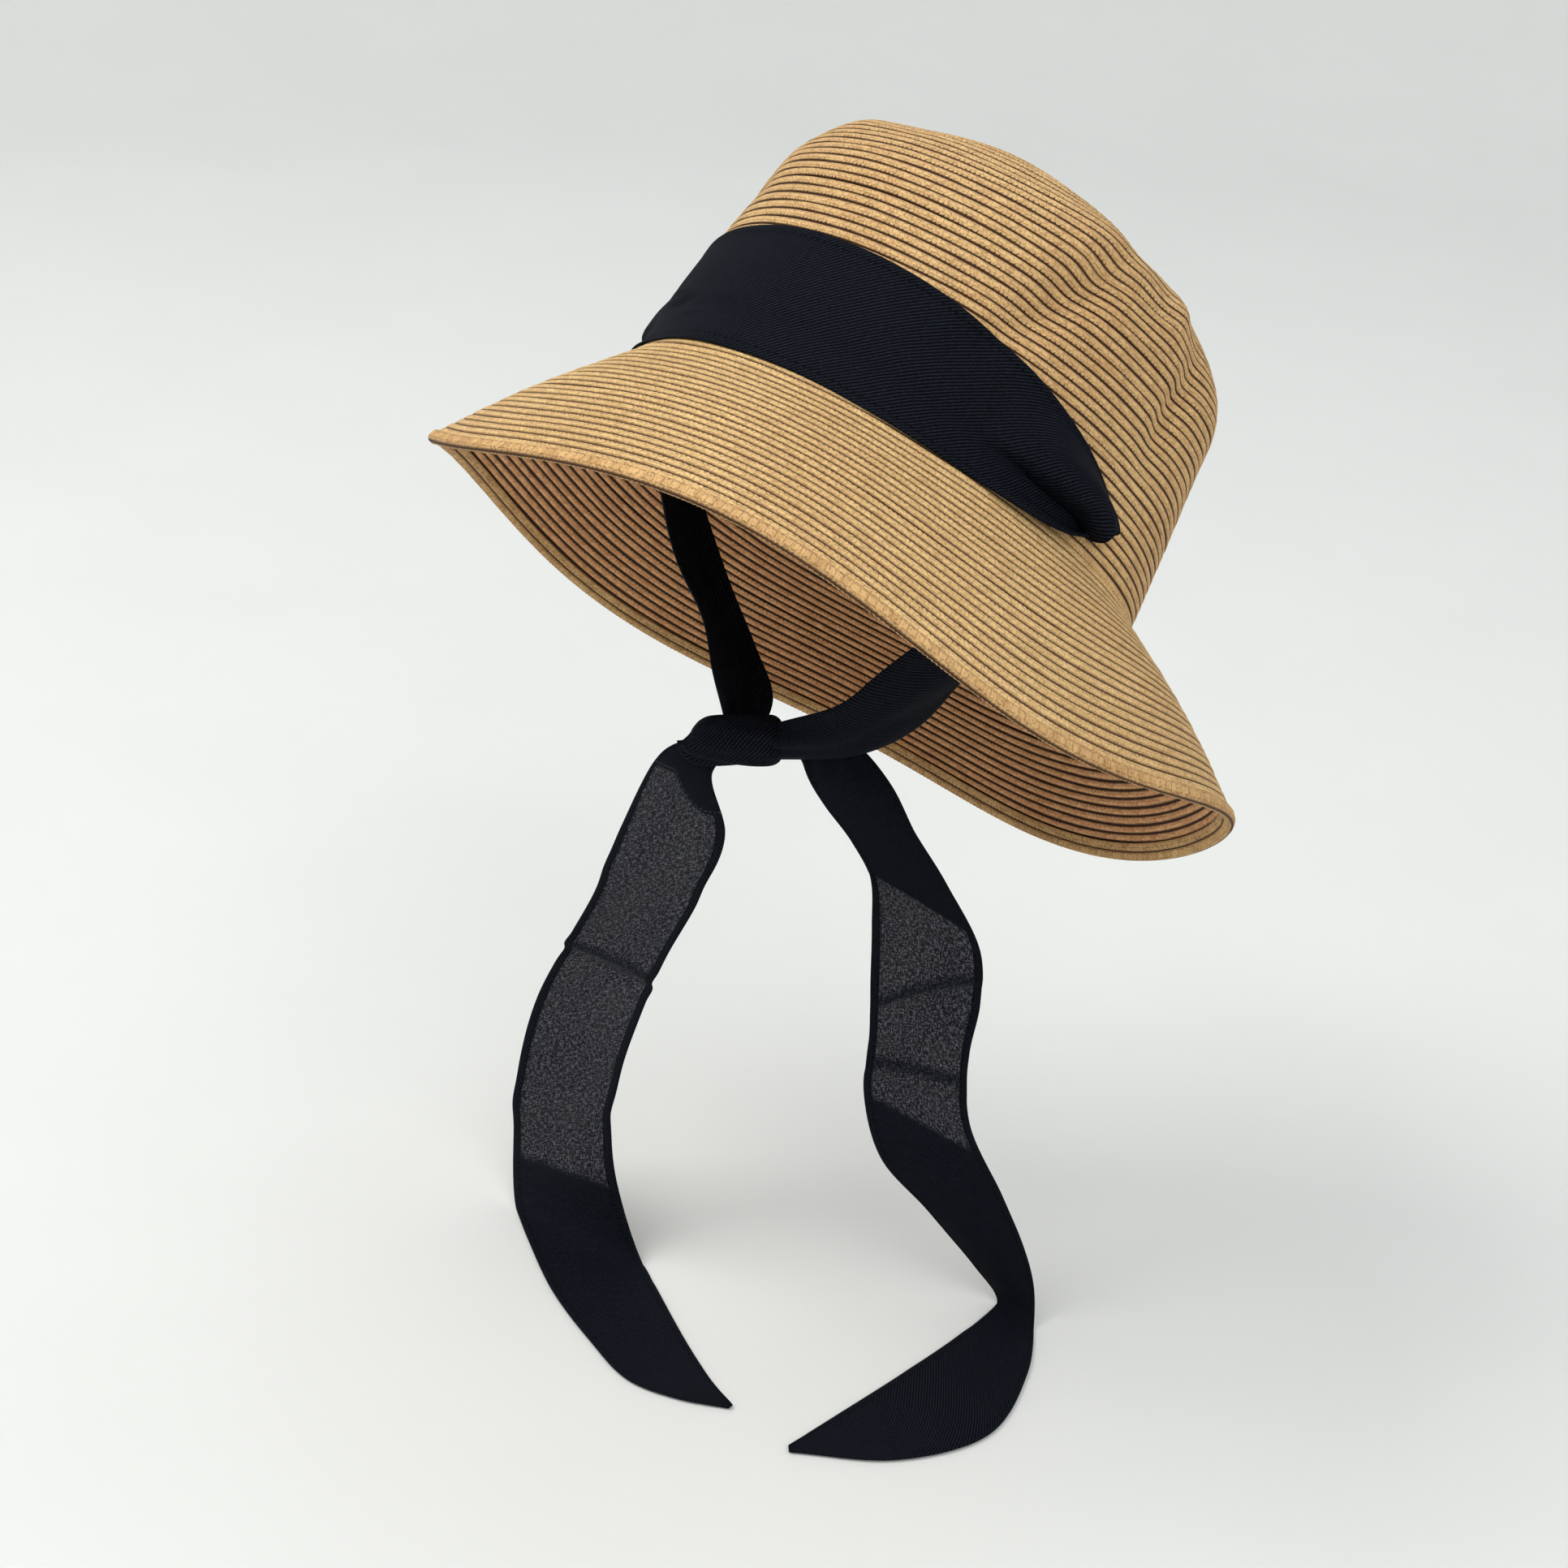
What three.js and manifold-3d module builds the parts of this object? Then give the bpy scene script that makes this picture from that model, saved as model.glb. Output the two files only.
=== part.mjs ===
// A woman's straw sun hat: a coiled paper-straw braid crown and brim, worn leaning back, with one
// long black scarf that crosses the front of the crown, enters the hat through two slits, comes
// down as chin straps, is knotted below the chin and ends in two loose tails.
// Millimetres. +Z is up, -Y is the way the wearer looks, +X is the wearer's left.
// The origin is the centre of the head opening, where the crown meets the brim.
import * as THREE from "three";
import Module from "manifold-3d";

const manifold = await Module();
manifold.setup();

// The hat's own frame: its axis is +Z before it leans back on the head.
const leanBack = THREE.MathUtils.degToRad(41.9);
const around = 72; // steps round the hat
const gap = 0.3; // clearance between touching pieces

// Crown. The half sizes are to its outer face at the head opening, of a 57 cm head size.
const halfWidth = 87;
const halfLength = 100.4;
const braidThickness = 2.2;
const crownHeight = 98;
const crownTaper = THREE.MathUtils.degToRad(4.9);
const shoulderRadius = 35;
const shoulderStart = crownHeight - shoulderRadius;
const topDoming = 2;

// Brim. Its edge is an oval that waves gently: each wave has a number of crests round the hat
// and how far it moves the edge outwards and downwards.
const brimHalfWidth = 144.6;
const brimHalfLength = 140.3;
const brimSetBack = 5.1;
const brimDrop = 55.1;
const brimBulge = 2.5;
const brimThickness = 1.8;
const brimRootDrop = 1.1; // clears the crown above it
const edgeWaves = [
  { crests: 1, outCos: 0, outSin: 0, downCos: 0, downSin: -4.5 },
  { crests: 2, outCos: 0, outSin: 1, downCos: -3, downSin: -2.7 },
  { crests: 3, outCos: -1.5, outSin: 2, downCos: 0.6, downSin: -2.3 },
  { crests: 4, outCos: 0, outSin: 0, downCos: -0.9, downSin: -4.9 },
];

// Edge braid, folded over the brim's rim with the stiffening wire in its fold.
const edgeFoldDepth = 7.5;
const edgeFlap = 0.8;
const brimStopsShort = 3.5;
const wireRadius = 0.45;
const wireFromEdge = 2;
const joinerWall = 0.45;
const joinerClearance = 0.12;
const joinerSteps = 2;

// Sweatband and slits
const sweatbandBottom = 17;
const sweatbandTop = 42;
const sweatbandThickness = 0.8;
const slitHeight = 12;
const slitOpening = 5;
const slitFront = -26;
const slitBack = -6;

// Scarf
const clothThickness = 1.4;
const bandHeight = 43.5;
const bandHalfSpan = 80;
const bandFullSpan = 88;
const bandEndBottom = 9;
const bandClearance = 0.5;
const passWidthShare = 0.85;
const passBottom = -3;

// ---------- solids ----------

/** A closed solid through rings of equal length. A looped one joins its last ring to its first. */
function loft(rings, looped) {
  const size = rings[0].length;
  const index = [];
  const spans = looped ? rings.length : rings.length - 1;
  for (let ring = 0; ring < spans; ring++) {
    const next = (ring + 1) % rings.length;
    for (let i = 0; i < size; i++) {
      const j = (i + 1) % size;
      const [a, b, c, d] = [ring * size + i, ring * size + j, next * size + j, next * size + i];
      index.push(a, b, c, a, c, d);
    }
  }
  if (!looped) {
    const last = (rings.length - 1) * size;
    for (let i = 1; i < size - 1; i++) {
      index.push(0, i + 1, i, last, last + i, last + i + 1);
    }
  }
  const points = rings.flat();
  if (signedVolume(points, index) < 0) {
    index.reverse();
  }
  const geometry = new THREE.BufferGeometry();
  const coordinates = points.flatMap((point) => point.toArray());
  geometry.setAttribute("position", new THREE.Float32BufferAttribute(coordinates, 3));
  geometry.setIndex(index);
  geometry.computeVertexNormals();
  return geometry;
}

function signedVolume(points, index) {
  let volume = 0;
  const cross = new THREE.Vector3();
  for (let i = 0; i < index.length; i += 3) {
    cross.crossVectors(points[index[i + 1]], points[index[i + 2]]);
    volume += points[index[i]].dot(cross);
  }
  return volume;
}

function toManifold(geometry) {
  return new manifold.Manifold(new manifold.Mesh({
    numProp: 3,
    vertProperties: geometry.attributes.position.array,
    triVerts: new Uint32Array(geometry.index.array),
  }));
}

function fromManifold(solid) {
  const mesh = solid.getMesh();
  const geometry = new THREE.BufferGeometry();
  geometry.setAttribute("position", new THREE.Float32BufferAttribute(mesh.vertProperties, 3));
  geometry.setIndex(new THREE.Uint32BufferAttribute(mesh.triVerts, 1));
  geometry.computeVertexNormals();
  return geometry;
}

const range = (count) => Array.from({ length: count }, (_, i) => i);
const turns = range(around).map((i) => (i / around) * 2 * Math.PI);

// ---------- crown and brim shapes, in the hat's own frame ----------

function crownPoint(turn, inset, z) {
  return new THREE.Vector3((halfWidth - inset) * Math.cos(turn), (halfLength - inset) * Math.sin(turn), z);
}

/** How far the crown's outer face stands in from the head opening's outline at a height. */
function sideInset(z) {
  return Math.max(0, z) * Math.tan(crownTaper);
}

function ringsOf(profile) {
  return profile.map(([inset, z]) => turns.map((turn) => crownPoint(turn, inset, z)));
}

function edgePoint(turn) {
  let [out, down] = [1, brimDrop];
  for (const wave of edgeWaves) {
    const [c, s] = [Math.cos(wave.crests * turn), Math.sin(wave.crests * turn)];
    out += (wave.outCos * c + wave.outSin * s) / 150;
    down += wave.downCos * c + wave.downSin * s;
  }
  const x = brimHalfWidth * out * Math.cos(turn);
  const y = brimHalfLength * out * Math.sin(turn) + brimSetBack;
  return new THREE.Vector3(x, y, -down);
}

/** The brim's middle surface from its root to its edge, and the frame that its thickness is laid on. */
function brimFrame(turn) {
  const root = crownPoint(turn, braidThickness / 2, -brimRootDrop);
  const edge = edgePoint(turn);
  const slope = edge.clone().sub(root);
  const length = slope.length();
  slope.divideScalar(length);
  const ahead = edgePoint(turn + 0.01).sub(edgePoint(turn - 0.01)).normalize();
  const normal = new THREE.Vector3().crossVectors(ahead, slope).normalize();
  if (normal.z < 0) {
    normal.negate();
  }
  /** A point a distance along the slope from the root and off the middle surface. */
  const at = (along, off) => {
    const rise = brimBulge * Math.sin((Math.PI * along) / length);
    return root.clone().addScaledVector(slope, along).addScaledVector(normal, off + rise);
  };
  return { at, length };
}

function crownSide() {
  const wall = [];
  for (const z of [gap, shoulderStart / 2, shoulderStart - gap]) {
    wall.push([sideInset(z), z]);
  }
  for (const z of [shoulderStart - gap, shoulderStart / 2, gap]) {
    wall.push([sideInset(z) + braidThickness, z]);
  }
  let solid = toManifold(loft(ringsOf(wall), true));
  for (const side of [1, -1]) {
    solid = solid.subtract(toManifold(slitCutter(side)));
  }
  return fromManifold(solid);
}

/** Turns across a slit on the wearer's left (side 1) or right (side -1), front to back. */
function slitTurns(side, share, steps) {
  const middle = (slitFront + slitBack) / 2;
  const half = ((slitBack - slitFront) / 2) * share;
  return range(steps + 1).map((i) => {
    const turn = THREE.MathUtils.degToRad(middle - half + (2 * half * i) / steps);
    return side > 0 ? turn : Math.PI - turn;
  });
}

function slitCutter(side) {
  const [low, high] = [slitHeight - slitOpening / 2, slitHeight + slitOpening / 2];
  const section = [[-5, low], [-5, high], [braidThickness + 6, high], [braidThickness + 6, low]];
  return loft(slitTurns(side, 1, 6).map((turn) => (
    section.map(([inset, z]) => crownPoint(turn, inset, z))
  )), false);
}

/** The shoulder's quarter-round profile, a distance inside its outer face. */
function shoulderArc(inside) {
  const steps = 6;
  const reach = shoulderRadius - inside;
  return range(steps).map((i) => {
    const angle = (i / (steps - 1)) * (Math.PI / 2);
    const inset = sideInset(shoulderStart) + inside + reach * (1 - Math.cos(angle));
    return [inset, shoulderStart + reach * Math.sin(angle)];
  });
}

function crownShoulder() {
  return loft(ringsOf([...shoulderArc(0), ...shoulderArc(braidThickness).reverse()]), true);
}

/** The slightly domed oval that closes the crown. */
function crownTip() {
  const rim = sideInset(shoulderStart) + shoulderRadius + gap;
  const face = (inside) => [
    [rim, crownHeight - inside],
    [(rim + halfWidth) / 2, crownHeight - inside + topDoming * 0.7],
    [halfWidth - 3, crownHeight - inside + topDoming],
  ];
  return loft(ringsOf([...face(0).reverse(), ...face(braidThickness)]), false);
}

function brim() {
  const share = [0, 0.35, 0.7, 1];
  const ringAt = (part, off) => turns.map((turn) => {
    const frame = brimFrame(turn);
    return frame.at(part * (frame.length - brimStopsShort), off);
  });
  const top = share.map((part) => ringAt(part, brimThickness / 2));
  const under = share.map((part) => ringAt(part, -brimThickness / 2));
  return loft([...top, ...under.reverse()], true);
}

function brimEdgeBraid() {
  const slot = brimThickness / 2 + gap;
  const outer = slot + edgeFlap;
  // (distance back from the edge, offset) round the folded section
  const section = [
    [edgeFoldDepth, outer], [1.2, outer], [0.3, outer * 0.6], [0, 0], [0.3, -outer * 0.6],
    [1.2, -outer], [edgeFoldDepth, -outer], [edgeFoldDepth, -slot], [edgeFlap, -slot],
    [edgeFlap, slot], [edgeFoldDepth, slot],
  ];
  return loft(turns.map((turn) => {
    const frame = brimFrame(turn);
    return section.map(([back, off]) => frame.at(frame.length - back, off));
  }), true);
}

/** A ring of points round the wire's line at a turn. */
function wireRing(turn, radius, sides) {
  const frame = brimFrame(turn);
  return range(sides).map((i) => {
    const angle = (i / sides) * 2 * Math.PI;
    return frame.at(frame.length - wireFromEdge + radius * Math.cos(angle), radius * Math.sin(angle));
  });
}

const backTurn = around / 4; // the step at the back of the hat, where the wire's ends meet

function brimEdgeWire() {
  const stations = range(around + 1).map((i) => turns[0] + ((i + backTurn) / around) * 2 * Math.PI);
  const endGap = 0.004;
  stations[0] += endGap;
  stations[around] -= endGap;
  return loft(stations.map((turn) => wireRing(turn, wireRadius, 6)), false);
}

function wireJoiner() {
  const stations = range(2 * joinerSteps + 1).map((i) => (
    ((backTurn + i - joinerSteps) / around) * 2 * Math.PI
  ));
  const inner = wireRadius + joinerClearance;
  const outerRings = stations.map((turn) => wireRing(turn, inner + joinerWall, 8));
  const innerRings = stations.map((turn) => wireRing(turn, inner, 8));
  return loft([...outerRings, ...innerRings.reverse()], true);
}

function sweatband() {
  const outer = (z) => sideInset(z) + braidThickness + gap;
  const wall = [[outer(sweatbandBottom), sweatbandBottom], [outer(sweatbandTop), sweatbandTop]];
  const inner = wall.map(([inset, z]) => [inset + sweatbandThickness, z]).reverse();
  return loft(ringsOf([...wall, ...inner]), true);
}

// ---------- scarf on the hat ----------

function scarfBand() {
  const steps = 40;
  return loft(range(steps + 1).map((i) => {
    const fromFront = -bandHalfSpan + (2 * bandHalfSpan * i) / steps;
    const turn = THREE.MathUtils.degToRad(fromFront - 90);
    const top = bandHeight * Math.sqrt(1 - (fromFront / bandFullSpan) ** 2);
    const rise = THREE.MathUtils.smoothstep(Math.abs(fromFront), 50, bandHalfSpan);
    const bottom = THREE.MathUtils.lerp(1, bandEndBottom, rise);
    const levels = [bottom, (bottom + top) / 2, top];
    const face = (off) => levels.map((z) => crownPoint(turn, sideInset(z) - off, z));
    return [...face(bandClearance), ...face(bandClearance + clothThickness).reverse()];
  }), false);
}

/** The scarf where it goes in through a slit and turns down inside the crown. */
function scarfPass(side) {
  const high = slitHeight + clothThickness / 2;
  const low = slitHeight - clothThickness / 2;
  const wallSide = sideInset(slitHeight) + braidThickness + 0.5;
  const section = [
    [wallSide, low], [wallSide, passBottom], [wallSide + clothThickness, passBottom],
    [wallSide + clothThickness, high], [1.3, high], [1.3, low],
  ];
  return loft(slitTurns(side, passWidthShare, 6).map((turn) => (
    section.map(([inset, z]) => crownPoint(turn, inset, z))
  )), false);
}

// ---------- scarf below the hat, upright in the room and not leaning with the hat ----------

/** A smooth curve through rows of coordinates. */
function route(rows) {
  const points = rows.map((row) => new THREE.Vector3(...row));
  return new THREE.CatmullRomCurve3(points, false, "centripetal");
}

/** A strip of cloth between two edge routes. */
function strip(edgeA, edgeB, steps) {
  const curves = [route(edgeA), route(edgeB)];
  const normal = new THREE.Vector3();
  return loft(range(steps + 1).map((i) => {
    const t = i / steps;
    const [a, b] = curves.map((curve) => curve.getPoint(t));
    const tangent = curves[0].getTangent(t).add(curves[1].getTangent(t));
    normal.crossVectors(tangent, b.clone().sub(a)).setLength(clothThickness / 2);
    return [a.clone().add(normal), b.clone().add(normal), b.clone().sub(normal), a.clone().sub(normal)];
  }), false);
}

// Each strap runs from below its slit to the knot. The left one is given; the right one mirrors it
// and ends a little further round the knot.
const strapFrontEdge = [
  [76, -31, 12], [64, -38, -6], [50, -44, -24], [36, -46, -40], [22, -50, -54], [15, -50, -58.5],
];
const strapBackEdge = [
  [75, -13, 3], [61, -17, -16], [49, -20, -36], [37, -23, -54], [25, -33, -66], [18, -36, -70],
];
const rightStrapEnd = { front: [-17, -57, -57], back: [-21, -46, -67] };

function chinStrap(side) {
  const onSide = ([x, y, z]) => [side * x, y, z];
  const front = strapFrontEdge.map(onSide);
  const back = strapBackEdge.map(onSide);
  if (side < 0) {
    front[front.length - 1] = rightStrapEnd.front;
    back[back.length - 1] = rightStrapEnd.back;
  }
  return strip(front, back, 20);
}

const knotCentre = new THREE.Vector3(-5, -54, -71);
const knotAxis = new THREE.Vector3(0.86, 0.48, 0.17).normalize();
const knotHalfLength = 16;
const knotWrapRadius = 9;
const knotCoreRadius = 5;
const knotCoreHalfLength = 19;

/** Rings of a spindle about the knot's axis: radii at shares of its half length. */
function knotRings(profile, halfLength) {
  const across = new THREE.Vector3().crossVectors(knotAxis, new THREE.Vector3(0, 0, 1)).normalize();
  const over = new THREE.Vector3().crossVectors(across, knotAxis);
  return profile.map(([share, radius]) => range(14).map((i) => {
    const angle = (i / 14) * 2 * Math.PI;
    return knotCentre.clone()
      .addScaledVector(knotAxis, share * halfLength)
      .addScaledVector(across, radius * Math.cos(angle))
      .addScaledVector(over, radius * Math.sin(angle));
  }));
}

function knotWrap() {
  const bore = knotCoreRadius + gap;
  const r = knotWrapRadius;
  return loft(knotRings([
    [-1, r * 0.82], [-0.6, r * 0.96], [0, r], [0.6, r * 0.94], [1, r * 0.8],
    [1, bore], [0, bore], [-1, bore],
  ], knotHalfLength), true);
}

function knotCore() {
  const r = knotCoreRadius;
  const profile = [[-1, r * 0.7], [-0.9, r], [0, r], [0.9, r], [1, r * 0.7]];
  return loft(knotRings(profile, knotCoreHalfLength), false);
}

// The tails hang from the knot, reach the table and end there in slanted points.
const rightTailOuter = [
  [-40, -61, -89], [-56, -60, -121], [-66, -60, -150], [-80, -60, -178], [-94, -60, -208],
  [-101, -60, -237], [-104, -60, -268], [-101, -63, -289], [-92, -70, -298], [-74, -81, -298],
  [-48, -95, -298], [-20, -105, -298], [5, -111, -298], [24, -106, -298], [40, -97, -298],
];
const rightTailInner = [
  [-19, -60, -85], [-9, -60, -104], [-19, -60, -134], [-32, -60, -163], [-42, -60, -191],
  [-51, -60, -220], [-54, -60, -243], [-51, -60, -264], [-44, -60, -284], [-34, -61, -298],
  [-22, -67, -298], [-5, -76, -298], [11, -84, -298], [27, -91, -298], [40, -95, -298],
];
const leftTailInner = [
  [14, -40, -86], [18, -34, -100], [28, -25, -116], [31, -23, -138], [31, -23, -160],
  [31, -23, -182], [31, -23, -206], [38, -18, -234], [52, -5, -256], [66, 8, -280],
  [73, 16, -298], [74, -8, -298], [72, -42, -298], [69, -75, -298], [67, -97, -298],
];
const leftTailOuter = [
  [24, -30, -84], [36, -19, -98], [47, -10, -124], [56, -4, -146], [60, 0, -166],
  [60, 0, -190], [61, 1, -216], [73, 10, -246], [81, 16, -268], [86, 19, -286],
  [91, 14, -298], [104, -8, -298], [113, -44, -298], [98, -76, -298], [69, -99, -298],
];

// ---------- materials ----------

const shades = {
  crownStraw: { color: 0xcba672, roughness: 0.75, metalness: 0 },
  brimStraw: { color: 0xd6b682, roughness: 0.75, metalness: 0 },
  edgeStraw: { color: 0xbf9862, roughness: 0.75, metalness: 0 },
  scarf: { color: 0x15161a, roughness: 0.85, metalness: 0, side: THREE.DoubleSide },
  sweatband: { color: 0xd9cbb0, roughness: 0.9, metalness: 0 },
  wire: { color: 0x8d8f92, roughness: 0.4, metalness: 0.9 },
};

function piece(name, geometry, shade) {
  const mesh = new THREE.Mesh(geometry, new THREE.MeshStandardMaterial(shades[shade]));
  mesh.name = name;
  return mesh;
}

// ---------- the assembly ----------

const hat = new THREE.Group();
hat.rotation.x = -leanBack;
hat.add(
  piece("crown_tip", crownTip(), "crownStraw"),
  piece("crown_shoulder", crownShoulder(), "crownStraw"),
  piece("crown_side", crownSide(), "crownStraw"),
  piece("brim", brim(), "brimStraw"),
  piece("brim_edge_braid", brimEdgeBraid(), "edgeStraw"),
  piece("brim_edge_wire", brimEdgeWire(), "wire"),
  piece("wire_joiner", wireJoiner(), "wire"),
  piece("sweatband", sweatband(), "sweatband"),
  piece("scarf_band", scarfBand(), "scarf"),
  piece("scarf_pass_left", scarfPass(1), "scarf"),
  piece("scarf_pass_right", scarfPass(-1), "scarf"),
);

const scarf = new THREE.Group();
scarf.add(
  piece("chin_strap_left", chinStrap(1), "scarf"),
  piece("chin_strap_right", chinStrap(-1), "scarf"),
  piece("knot_wrap", knotWrap(), "scarf"),
  piece("knot_core", knotCore(), "scarf"),
  piece("tail_left", strip(leftTailInner, leftTailOuter, 36), "scarf"),
  piece("tail_right", strip(rightTailOuter, rightTailInner, 36), "scarf"),
);

const sunHat = new THREE.Group();
sunHat.add(hat, scarf);

export default sunHat;
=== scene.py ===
"""The looks of a straw sun hat tied on with a long black scarf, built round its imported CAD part.

Shapes are worked out in millimetres and turned into metres when a mesh is made. The hat's pieces are
drawn with the hat's axis along +Z and then leaned back, as the CAD part is. The scarf's hanging
pieces are drawn upright, where they hang.
"""
import math
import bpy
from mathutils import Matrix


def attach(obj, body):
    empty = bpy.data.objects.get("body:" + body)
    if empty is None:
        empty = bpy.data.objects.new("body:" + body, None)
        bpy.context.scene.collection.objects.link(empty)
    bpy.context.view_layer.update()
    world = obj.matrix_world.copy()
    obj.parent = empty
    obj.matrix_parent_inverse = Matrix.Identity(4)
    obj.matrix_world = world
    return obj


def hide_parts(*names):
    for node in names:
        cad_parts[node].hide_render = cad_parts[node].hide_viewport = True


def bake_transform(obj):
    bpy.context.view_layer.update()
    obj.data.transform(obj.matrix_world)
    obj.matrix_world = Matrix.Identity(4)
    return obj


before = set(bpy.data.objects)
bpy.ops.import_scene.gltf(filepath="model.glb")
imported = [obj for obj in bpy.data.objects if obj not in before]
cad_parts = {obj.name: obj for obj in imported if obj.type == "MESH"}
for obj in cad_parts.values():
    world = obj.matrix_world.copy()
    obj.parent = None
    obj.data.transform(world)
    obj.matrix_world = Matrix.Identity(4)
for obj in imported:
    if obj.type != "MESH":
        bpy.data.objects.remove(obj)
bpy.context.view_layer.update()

import bpy
import numpy as np
from mathutils import Matrix, Vector

MM = 0.001
TAU = 2 * math.pi

# ---------- driving dimensions, the CAD part's own ----------

LEAN_BACK = math.radians(41.9)

HALF_WIDTH, HALF_LENGTH = 87.0, 100.4
CROWN_HEIGHT = 98.0
CROWN_TAPER = math.radians(4.9)
SHOULDER_RADIUS = 35.0
SHOULDER_START = CROWN_HEIGHT - SHOULDER_RADIUS
TOP_DOMING = 2.0
BRAID_THICKNESS = 2.2

BRIM_HALF_WIDTH, BRIM_HALF_LENGTH = 144.6, 140.3
BRIM_SET_BACK = 5.1
BRIM_DROP = 55.1
BRIM_BULGE = 2.5
BRIM_ROOT_DROP = 1.1
BRIM_STOPS_SHORT = 3.5
BRIM_THICKNESS = 1.8
# (crests round the hat, outwards cos and sin, downwards cos and sin)
EDGE_WAVES = [
    (1, 0, 0, 0, -4.5),
    (2, 0, 1, -3, -2.7),
    (3, -1.5, 2, 0.6, -2.3),
    (4, 0, 0, -0.9, -4.9),
]

SLIT_HEIGHT = 12.0
SLIT_FRONT, SLIT_BACK = -26.0, -6.0
SLIT_ROWS = (3, 5)  # the braid rows that it takes the place of
BAND_HEIGHT = 43.5
BAND_FULL_SPAN = 88.0

FLOOR = -299.2

# ---------- looks ----------

ROW = 3.1  # one braid row
ROW_RELIEF = [  # (share of a row from its lower groove, height of the straw there)
    (0.00, -0.60),
    (0.07, -0.10),
    (0.24, 0.04),
    (0.50, 0.12),
    (0.86, 0.04),
]
ROW_RELIEF_UNDER = [(0.00, -0.75), (0.22, 0.0), (0.68, 0.1)]
STITCH = 1.7  # one stitch of the braid, along its row
CLOTH = 0.5
HEM = 3.6
SCARF_WIDTH = 45.0


def smoothstep(x, low, high):
    t = np.clip((x - low) / (high - low), 0, 1)
    return t * t * (3 - 2 * t)


def lerp(a, b, t):
    return a + (b - a) * t


# ---------- camera ----------

CAMERA_TURN, CAMERA_RISE, CAMERA_ROLL = math.radians(38.2), math.radians(27.65), math.radians(4.4)
CAMERA_OPENING = 2 * math.atan(966 / 3180)
ORIGIN_SEEN_AT = np.array([33.2, 91.65, -845.1])  # from the camera: right, up and back


def make_camera():
    turn, rise, roll = CAMERA_TURN, CAMERA_RISE, CAMERA_ROLL
    back = np.array([math.sin(turn) * math.cos(rise), -math.cos(turn) * math.cos(rise), math.sin(rise)])
    level = np.array([math.cos(turn), math.sin(turn), 0])
    upright = np.cross(back, level)
    right = level * math.cos(roll) + upright * math.sin(roll)
    up = upright * math.cos(roll) - level * math.sin(roll)
    axes = np.array([right, up, back])
    place = -axes.T @ ORIGIN_SEEN_AT * MM
    data = bpy.data.cameras.new("camera")
    data.angle = CAMERA_OPENING
    camera = bpy.data.objects.new("camera", data)
    matrix = Matrix(axes.T.tolist()).to_4x4()
    matrix.translation = Vector(place.tolist())
    camera.matrix_world = matrix
    bpy.context.scene.collection.objects.link(camera)
    bpy.context.scene.camera = camera


# ---------- meshes ----------


def lean(points):
    """From the hat's own frame to the row frame, in millimetres."""
    c, s = math.cos(LEAN_BACK), math.sin(LEAN_BACK)
    x, y, z = points[..., 0], points[..., 1], points[..., 2]
    return np.stack([x, y * c + z * s, -y * s + z * c], axis=-1)


def make_mesh(name, points, faces, corner_uv, material):
    """points in millimetres, quads as an array of four indices, and a UV pair for each quad corner."""
    mesh = bpy.data.meshes.new(name)
    mesh.vertices.add(len(points))
    mesh.vertices.foreach_set("co", (points * MM).astype(np.float32).ravel())
    mesh.loops.add(faces.size)
    mesh.loops.foreach_set("vertex_index", faces.astype(np.int32).ravel())
    mesh.polygons.add(len(faces))
    mesh.polygons.foreach_set("loop_start", np.arange(0, faces.size, 4, dtype=np.int32))
    mesh.polygons.foreach_set("use_smooth", np.full(len(faces), True))
    mesh.update(calc_edges=True)
    layer = mesh.uv_layers.new(name="UVMap")
    layer.uv.foreach_set("vector", corner_uv.astype(np.float32).ravel())
    mesh.validate()
    mesh.materials.append(material)
    piece = bpy.data.objects.new(name, mesh)
    bpy.context.scene.collection.objects.link(piece)
    return piece


def closed_mesh(name, points, faces, u, v, material):
    """A closed mesh with U and V for each quad corner, its faces turned to look outwards."""
    a, b, c, d = (points[faces[:, i]] for i in range(4))
    volume = (a * np.cross(b, c)).sum() + (a * np.cross(c, d)).sum()
    if volume < 0:
        faces, u, v = faces[:, ::-1], u[:, ::-1], v[:, ::-1]
    return make_mesh(name, points, faces, np.stack([u, v], axis=-1), material)


def round_corners(step, around, count):
    """A value for each quad corner that runs from 0 to count round a ring."""
    return np.stack([step, step + 1, step + 1, step], axis=1) / around * count


def rising_corners(low, high):
    """A value for each quad corner: low on the quad's own ring and high on the next one."""
    return np.stack([low, low, high, high], axis=1)


def ring_faces(rings, around, closed):
    """Quads between rings of points, as indices by face and corner, with each face's ring and step."""
    count = rings if closed else rings - 1
    ring, step = np.meshgrid(np.arange(count), np.arange(around), indexing="ij")
    ring, step = ring.ravel(), step.ravel()
    after, beside = (ring + 1) % rings, (step + 1) % around
    faces = np.stack([
        ring * around + step, ring * around + beside, after * around + beside, after * around + step,
    ], axis=1)
    return faces, ring, step


def cap_faces(first, around):
    """Quads across a ring that is folded flat on its own long axis."""
    half = around // 2
    low = first + np.arange(0, half)
    high = first + (around - np.arange(0, half)) % around
    low_next = first + np.arange(1, half + 1)
    high_next = first + (around - np.arange(1, half + 1)) % around
    return np.stack([low, low_next, high_next, high], axis=1)


# ---------- straw ----------


# Distances up the crown's face, and how far in from its foot the shoulder ends.
SIDE_LENGTH = SHOULDER_START / math.cos(CROWN_TAPER)
SHOULDER_LENGTH = SHOULDER_RADIUS * math.pi / 2
SHOULDER_INSET = SHOULDER_START * math.tan(CROWN_TAPER) + SHOULDER_RADIUS
TIP_LENGTH = HALF_WIDTH - SHOULDER_INSET - 1.2


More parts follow.
